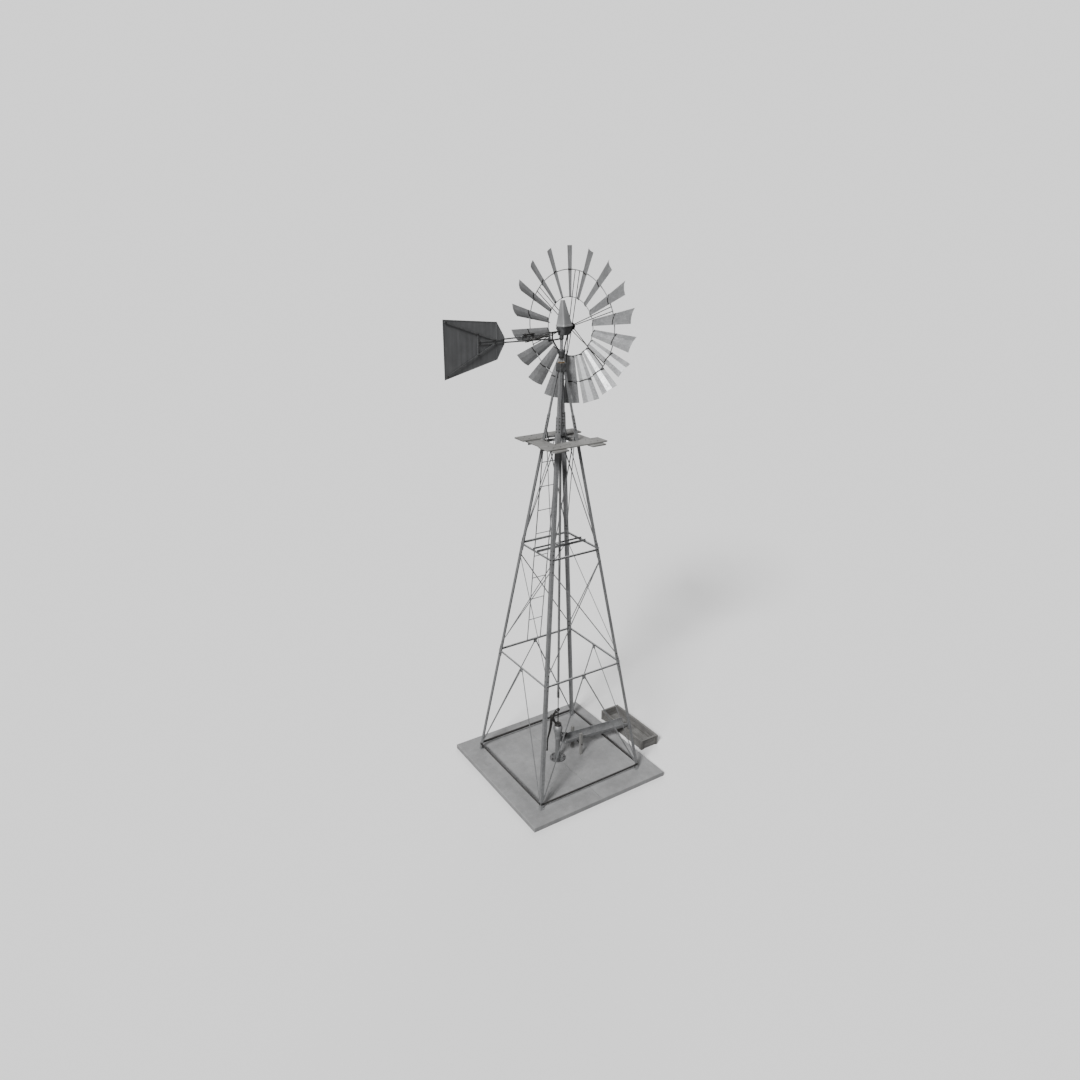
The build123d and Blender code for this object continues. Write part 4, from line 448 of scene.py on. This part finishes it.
def make_finishes():
    grey_wood = (0.112, 0.110, 0.105), (0.240, 0.237, 0.230)
    old_wood = (0.076, 0.074, 0.070), (0.176, 0.173, 0.167)
    rod_wood = (0.078, 0.079, 0.080), (0.158, 0.159, 0.160)
    return {
        "galvanised": zinc("galvanised", (0.150, 0.152, 0.155), (0.285, 0.288, 0.292)),
        "dull_zinc": zinc("dull_zinc", (0.095, 0.097, 0.099), (0.190, 0.192, 0.195),
                          metallic=0.35),
        "blade_sheet": zinc("blade_sheet", (0.300, 0.303, 0.308), (0.470, 0.474, 0.480),
                            metallic=0.72, streak=(1, 1, 1), rust=0.15),
        "concrete": concrete("concrete"),
        "dark_iron": iron("dark_iron"),
        "grey_iron": iron("grey_iron", (0.055, 0.056, 0.058), (0.135, 0.136, 0.138)),
        "deck_x": wood("deck_x", 0, *grey_wood),
        "deck_y": wood("deck_y", 1, *grey_wood),
        "wood_x": wood("wood_x", 0, *old_wood),
        "wood_y": wood("wood_y", 1, *old_wood),
        "wood_z": wood("wood_z", 2, *old_wood),
        "pale_post": wood("pale_post", 2, *grey_wood),
        "rod_wood": wood("rod_wood", 2, *rod_wood),
        "vane_sheet": painted("vane_sheet", (0.130, 0.132, 0.136), (0.205, 0.208, 0.212), (0.34, 0.34, 0.34)),
        "hood_sheet": painted("hood_sheet", (0.225, 0.227, 0.230), (0.325, 0.327, 0.330), (0.5, 0.5, 0.5)),
        "bright_steel": machined("bright_steel", (0.20, 0.20, 0.21), (0.36, 0.36, 0.37)),
        "bronze": machined("bronze", (0.26, 0.15, 0.06), (0.45, 0.29, 0.12)),
    }


# Nodes whose finish differs from their slot's usual one.
NODE_FINISH = {
    "foot_girts": "dark_iron",
    "tail_chords": "dull_zinc", "vane_stiffeners": "dull_zinc", "rod_guide": "dull_zinc",
    "tower_cap": "grey_iron", "mast_yoke": "grey_iron", "pump_base": "grey_iron", "mast_guide": "grey_iron",
    "gear_case": "grey_iron", "pump_column": "dull_zinc", "polished_rod": "dark_iron",
    "pump_rod": "rod_wood", "chute_stakes": "pale_post", "tank_boards": "wood_y", "tank_trim": "wood_y",
    "platform_boards": "deck_x",
}


def dress_nodes(finishes):
    for node, piece in NODES.items():
        piece.data.materials.clear()
        piece.data.materials.append(finishes[NODE_FINISH.get(node, SLOT_OF[node])])


# ---- Detail pieces ----
def add_piece(bm, name, finish, body, replaced=None, smooth=True):
    """Turn a bmesh into a piece that rides on a body, and that may stand for a CAD node."""
    mesh = bpy.data.meshes.new(name)
    bm.to_mesh(mesh)
    bm.free()
    if smooth:
        mesh.shade_smooth()
    mesh.materials.append(FINISHES[finish])
    piece = bpy.data.objects.new(name, mesh)
    bpy.context.scene.collection.objects.link(piece)
    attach(piece, body)
    if replaced:
        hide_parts(replaced)


def rounded_section(half_w, half_t, radius):
    """Points round a board's cross-section, with extra ones across its wide faces."""
    points = []
    for sx, sy, start in ((1, 1, 0), (-1, 1, 90), (-1, -1, 180), (1, -1, 270)):
        for step in (0, 45, 90):
            a = math.radians(start + step)
            points.append((sx * (half_w - radius) + radius * math.cos(a),
                           sy * (half_t - radius) + radius * math.sin(a)))
        if sy * sx > 0:
            points.extend((sx * share * (half_w - radius), sy * half_t) for share in (0.5, 0, -0.5))
    return points


def rounding(radius, from_end):
    """How far a corner of this radius draws a board in, at a place near its end."""
    return radius - math.sqrt(max(0.0, radius ** 2 - max(0.0, radius - from_end) ** 2))


def ragged(place, from_end):
    """How far a board's end is worn and split back at a place on it."""
    fray = END_FRAY * (1 + noise.noise(place * 60.0))
    split = END_SPLIT * max(0.0, noise.noise(place * 33.0) - 0.32)
    return (fray + split) * (1 - from_end / PLANK_ENDS[-1])


def plank(name, low, high, finish, body, node, worn=PLANK_WORN, corner=0.0):
    """A weathered board in a box: soft edges, a wavy face, and uneven, slightly split ends."""
    low, high = Vector(low), Vector(high)
    size, middle = high - low, (low + high) / 2
    axes = sorted(range(3), key=lambda i: -size[i])
    length, half_w, half_t = size[axes[0]], size[axes[1]] / 2, size[axes[2]] / 2
    steps = max(6, int(length / PLANK_STEP))
    run = length - 2 * PLANK_INNER
    stations = [*PLANK_ENDS, *(PLANK_INNER + run * i / steps for i in range(steps + 1)),
                *(length - e for e in reversed(PLANK_ENDS))]
    section = rounded_section(half_w, half_t, min(PLANK_EDGE, half_t * 0.5))
    bm = bmesh.new()
    rings = []
    for t in stations:
        from_end = min(t, length - t)
        inset = rounding(corner, from_end)
        soften = rounding(PLANK_EDGE, from_end)
        ring = []
        for w, d in section:
            shape = Vector((0, 0, 0))
            shape[axes[0]] = t - length / 2
            shape[axes[1]] = w * (half_w - inset) / half_w
            shape[axes[2]] = d
            place = middle + shape
            wear = worn * (0.5 + 0.5 * noise.noise(place * 9.0)) + soften * 0.5
            shape[axes[1]] -= math.copysign(min(wear, abs(shape[axes[1]])), shape[axes[1]])
            shape[axes[2]] -= math.copysign(min(wear * 0.6, half_t * 0.2), shape[axes[2]])
            if from_end < PLANK_ENDS[-1]:
                back = min(ragged(place, from_end), length / 4)
                shape[axes[0]] -= math.copysign(back, shape[axes[0]])
            ring.append(bm.verts.new(middle + shape))
        rings.append(ring)
    count = len(section)
    for a, b in zip(rings, rings[1:]):
        for i in range(count):
            bm.faces.new((a[i], a[(i + 1) % count], b[(i + 1) % count], b[i]))
    bm.faces.new(rings[0][::-1])
    bm.faces.new(rings[-1])
    bmesh.ops.recalc_face_normals(bm, faces=bm.faces)
    add_piece(bm, name, finish, body, node)


def grain(low, high, kind):
    """The finish whose grain runs along a board's longest side."""
    size = [h - l for l, h in zip(low, high)]
    return kind + "_" + "xyz"[size.index(max(size))]


def build_deck():
    low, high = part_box("platform_boards")
    half_y, mid = high.y, (low.z + high.z) / 2
    number = 0
    for side in (-1, 1):
        near, far = sorted((side * DECK_Y[0], side * DECK_Y[1]))
        boards = [((-DECK_HALF_X, near, mid), (DECK_HALF_X, far, high.z))]
        near, far = sorted((side * CROSS_X[0], side * CROSS_X[1]))
        boards.append(((near, -half_y, low.z), (far, half_y, mid)))
        for corner_low, corner_high in boards:
            number += 1
            plank(f"deck_board_{number}", corner_low, corner_high, grain(corner_low, corner_high, "deck"),
                  "tower", "platform_boards", corner=DECK_CORNER)


def tank_boards():
    """Boxes of the tank's wall boards and floor planks."""
    low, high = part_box("tank_boards")
    x0, y0, x1, y1, top = low.x, low.y, high.x, high.y, high.z
    w = TANK_WALL
    course = (top - COURSE_GAP) / 2
    boxes = []
    for z in (low.z, low.z + course + COURSE_GAP):
        boxes += [((x0, y0, z), (x0 + w, y1, z + course)), ((x1 - w, y0, z), (x1, y1, z + course)),
                  ((x0 + w, y0, z), (x1 - w, y0 + w, z + course)),
                  ((x0 + w, y1 - w, z), (x1 - w, y1, z + course))]
    width = (x1 - x0 - 2 * w) / 4
    for i in range(4):
        x = x0 + w + width * i
        boxes.append(((x + FLOOR_GAP, y0 + w, TANK_FLOOR[0]), (x + width - FLOOR_GAP, y1 - w, TANK_FLOOR[1])))
    return boxes


def tank_trim():
    """Boxes of the tank's corner posts, straps and rim."""
    low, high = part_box("tank_boards")
    x0, y0, x1, y1 = low.x, low.y, high.x, high.y
    top, trim_top = high.z, high.z - TRIM_DROP
    t, b = BATTEN
    boxes = []
    for x, sx in ((x0, -1), (x1, 1)):
        for y, sy in ((y0, -1), (y1, 1)):
            boxes.append(((min(x, x + sx * t), min(y + sy * t, y - sy * b), low.z),
                          (max(x, x + sx * t), max(y + sy * t, y - sy * b), trim_top)))
            boxes.append(((min(x, x - sx * b), min(y, y + sy * t), low.z),
                          (max(x, x - sx * b), max(y, y + sy * t), trim_top)))
    for share in (1 / 3, 2 / 3):
        y = y0 + (y1 - y0) * share
        boxes.append(((x0 - t, y - TANK_STRAP / 2, low.z), (x0, y + TANK_STRAP / 2, trim_top)))
        boxes.append(((x1, y - TANK_STRAP / 2, low.z), (x1 + t, y + TANK_STRAP / 2, trim_top)))
    out, lip = RIM_OUT, TANK_WALL + RIM_IN
    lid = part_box("tank_trim")[1].z
    boxes += [((x0 - out, y0 - out, top), (x0 + lip, y1 + out, lid)),
              ((x1 - lip, y0 - out, top), (x1 + out, y1 + out, lid)),
              ((x0 + lip, y0 - out, top), (x1 - lip, y0 + lip, lid)),
              ((x0 + lip, y1 - lip, top), (x1 - lip, y1 + out, lid))]
    return boxes


def build_tank():
    for kind, boxes in (("tank_boards", tank_boards()), ("tank_trim", tank_trim())):
        for i, (low, high) in enumerate(boxes):
            shade = "deck" if high[2] <= TANK_FLOOR[1] else "wood"
            plank(f"{kind}_{i + 1}", low, high, grain(low, high, shade), "tower", kind,
                  worn=TANK_WORN)


def domes(name, spots, radius, rise, finish, body, slot):
    """Round rivet or nail heads: spots are (place, outward normal)."""
    bm = bmesh.new()
    turns = [math.tau * i / DOME_SIDES for i in range(DOME_SIDES)]
    for place, normal in spots:
        foot = Vector(place)
        turn = Vector(normal).normalized().to_track_quat("Z", "Y").to_matrix()
        rings = []
        for share, height in DOME_RINGS:
            out, z = radius * share, rise * height
            rings.append([bm.verts.new(foot + turn @ Vector((out * math.cos(a), out * math.sin(a), z)))
                          for a in turns])
        crown = bm.verts.new(foot + turn @ Vector((0, 0, rise)))
        for a, b in zip(rings, rings[1:]):
            for i in range(DOME_SIDES):
                j = (i + 1) % DOME_SIDES
                bm.faces.new((a[i], a[j], b[j], b[i]))
        for i in range(DOME_SIDES):
            bm.faces.new((rings[-1][i], rings[-1][(i + 1) % DOME_SIDES], crown))
        bm.faces.new(rings[0][::-1])
    add_piece(bm, name, finish, body)


def build_nails():
    """Nail heads through the tank's battens, straps and rim."""
    low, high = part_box("tank_boards")
    t, b = BATTEN
    course = (high.z - COURSE_GAP) / 2
    spots = []
    for z in (course * share for share in NAIL_SHARES):
        for x, sx in ((low.x - t, -1), (high.x + t, 1)):
            for y in (low.y + b / 2, high.y - b / 2):
                spots.append(((x, y, z), (sx, 0, 0)))
            for share in (1 / 3, 2 / 3):
                y = low.y + (high.y - low.y) * share
                spots.extend(((x, y + dy, z), (sx, 0, 0)) for dy in (-NAIL_IN, NAIL_IN))
        for y, sy in ((low.y - t, -1), (high.y + t, 1)):
            for x in (low.x + b / 2, high.x - b / 2):
                spots.append(((x, y, z), (0, sy, 0)))
    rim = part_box("tank_trim")[1].z - NAIL_SUNK
    run = high.y - low.y - 2 * RIM_NAILS_END
    for i in range(RIM_NAILS):
        y = low.y + RIM_NAILS_END + run * i / (RIM_NAILS - 1)
        spots.extend(((x, y, rim), (0, 0, 1)) for x in (low.x + NAIL_IN, high.x - NAIL_IN))
    for y in (low.y + NAIL_IN, high.y - NAIL_IN):
        spots.extend(((low.x + x, y, rim), (0, 0, 1)) for x in END_NAILS)
    domes("tank_nails", spots, NAIL_R, NAIL_RISE, "dark_iron", "tower", "dark_iron")


def blade_place(radius, across, depth):
    """A point on a blade that points straight up, about the wheel's centre, and the way it faces."""
    share = (radius - BLADE_INNER) / (BLADE_OUTER - BLADE_INNER)
    rim, axial = [a + share * (b - a) for a, b in zip(BLADE_HALF_IN, BLADE_HALF_OUT)]
    chord = math.hypot(rim, axial)
    back = Vector((-rim / chord, axial / chord, 0))
    knee = 1 - BLADE_KNEE ** 2
    bulge = knee * (1 - abs(across)) / (1 - BLADE_KNEE) if abs(across) > BLADE_KNEE else knee
    place = Vector((-axial, -rim, 0)) * across + back * (2 * chord * CAMBER * bulge + depth)
    return place + Vector((0, 0, radius)), back


def build_blade_rivets():
    """Rivets that hold each blade to its two clips, on both sides of the sheet."""
    centre = Vector(WHEEL_SPIN["pos_m"])
    spots = []
    for i in range(BLADES):
        turn = HEAD_TURN @ Matrix.Rotation(math.radians(BLADE_START + 360 / BLADES * i), 3, "X")
        for radius, thick in ((RING_OUT, CLIP_OUT_T), (RING_IN + CLIP_IN_UP, CLIP_IN_T)):
            for across in (-BLADE_RIVET_ACROSS, BLADE_RIVET_ACROSS):
                place, back = blade_place(radius, across, BLADE_T / 2 + CLIP_OFF + thick)
                spots.append((centre + turn @ place, turn @ back))
                place, back = blade_place(radius, across, -BLADE_T / 2)
                spots.append((centre + turn @ place, turn @ -back))
    domes("blade_rivets", spots, *BLADE_RIVET, "galvanised", "wheel", "galvanised")


def in_head(place):
    """A point in the head's axes, as a place in the frame."""
    return HEAD_TURN @ Vector(place)


def build_vane_rivets():
    """Rivets along the vane's folded hem, on both sides."""
    outline = [Vector(p) for p in VANE_OUTLINE]
    middle = sum(outline, Vector((0, 0))) / len(outline)
    spots = []
    for a, b in zip(outline, outline[1:] + outline[:1]):
        count = max(1, round((b - a).length / VANE_RIVET_PITCH))
        for i in range(count):
            at = a + (b - a) * (i + 0.5) / count
            at += (middle - at).normalized() * VANE_HEM_IN
            for side in (-1, 1):
                place = in_head((at.x, side * VANE_HEM_T, at.y + GROUND))
                spots.append((place, in_head((0, side, 0))))
    domes("vane_rivets", spots, *VANE_RIVET, "dull_zinc", "tail", "vane_sheet")


def between(ends, x):
    """Heights on a sloping line at a place along it."""
    (x0, *first), (x1, *last) = ends
    share = (x - x0) / (x1 - x0)
    return [a + share * (b - a) for a, b in zip(first, last)]


def prism(bm, profile, x, half):
    """Extrude a closed outline of (across, up) points along the tail, both ways from a place."""
    near, far = [[bm.verts.new(in_head((end, y, z))) for y, z in profile] for end in (x - half, x + half)]
    for i in range(len(profile)):
        j = (i + 1) % len(profile)
        bm.faces.new((near[i], near[j], far[j], far[i]))
    bm.faces.new(near[::-1])
    bm.faces.new(far)


def rectangle(left, right, low, high):
    return [(left, low), (left, high), (right, high), (right, low)]


def build_furl_straps():
    """Bent straps over the furl bar, each with a packing block on the chords and a bolt below them."""
    bm = bmesh.new()
    bolts = []
    t = STRAP_T
    left, right = -CHORD_FACE - FURL_BAR_OUT, CHORD_FACE
    for x in STRAP_X:
        middle = between(CHORD_LINE, x)[0] + GROUND
        under, top = [z + GROUND for z in between(FURL_BAR, x)]
        foot = middle - CHORD_H / 2 - STRAP_FOOT
        outline = [(left - t, foot), (left - t, top + t), (right + t, top + t), (right + t, foot),
                   (right, foot), (right, top), (left, top), (left, foot)]
        prism(bm, outline, x, STRAP_W / 2)
        block = rectangle(left, right, middle + CHORD_H / 2 - PACKING_SINK, under + PACKING_SINK)
        prism(bm, block, x, STRAP_W)
        bolt_z = foot + STRAP_BOLT_UP
        bolt = rectangle(left, right, bolt_z - STRAP_BOLT_HALF, bolt_z + STRAP_BOLT_HALF)
        prism(bm, bolt, x, STRAP_BOLT_HALF)
        for y, side in ((left - t, -1), (right + t, 1)):
            bolts.append((in_head((x, y, bolt_z)), in_head((0, side, 0))))
    bmesh.ops.recalc_face_normals(bm, faces=bm.faces)
    bmesh.ops.bevel(bm, geom=bm.edges[:], offset=STRAP_EDGE, segments=2, affect="EDGES")
    add_piece(bm, "furl_straps", "dark_iron", "tail", smooth=False)
    domes("furl_strap_bolts", bolts, *STRAP_BOLT_HEAD, "dark_iron", "tail", "dark_iron")


make_camera()
make_floor()
make_lights()
FINISHES = make_finishes()
dress_nodes(FINISHES)
build_deck()
build_tank()
build_nails()
build_blade_rivets()
build_vane_rivets()
build_furl_straps()
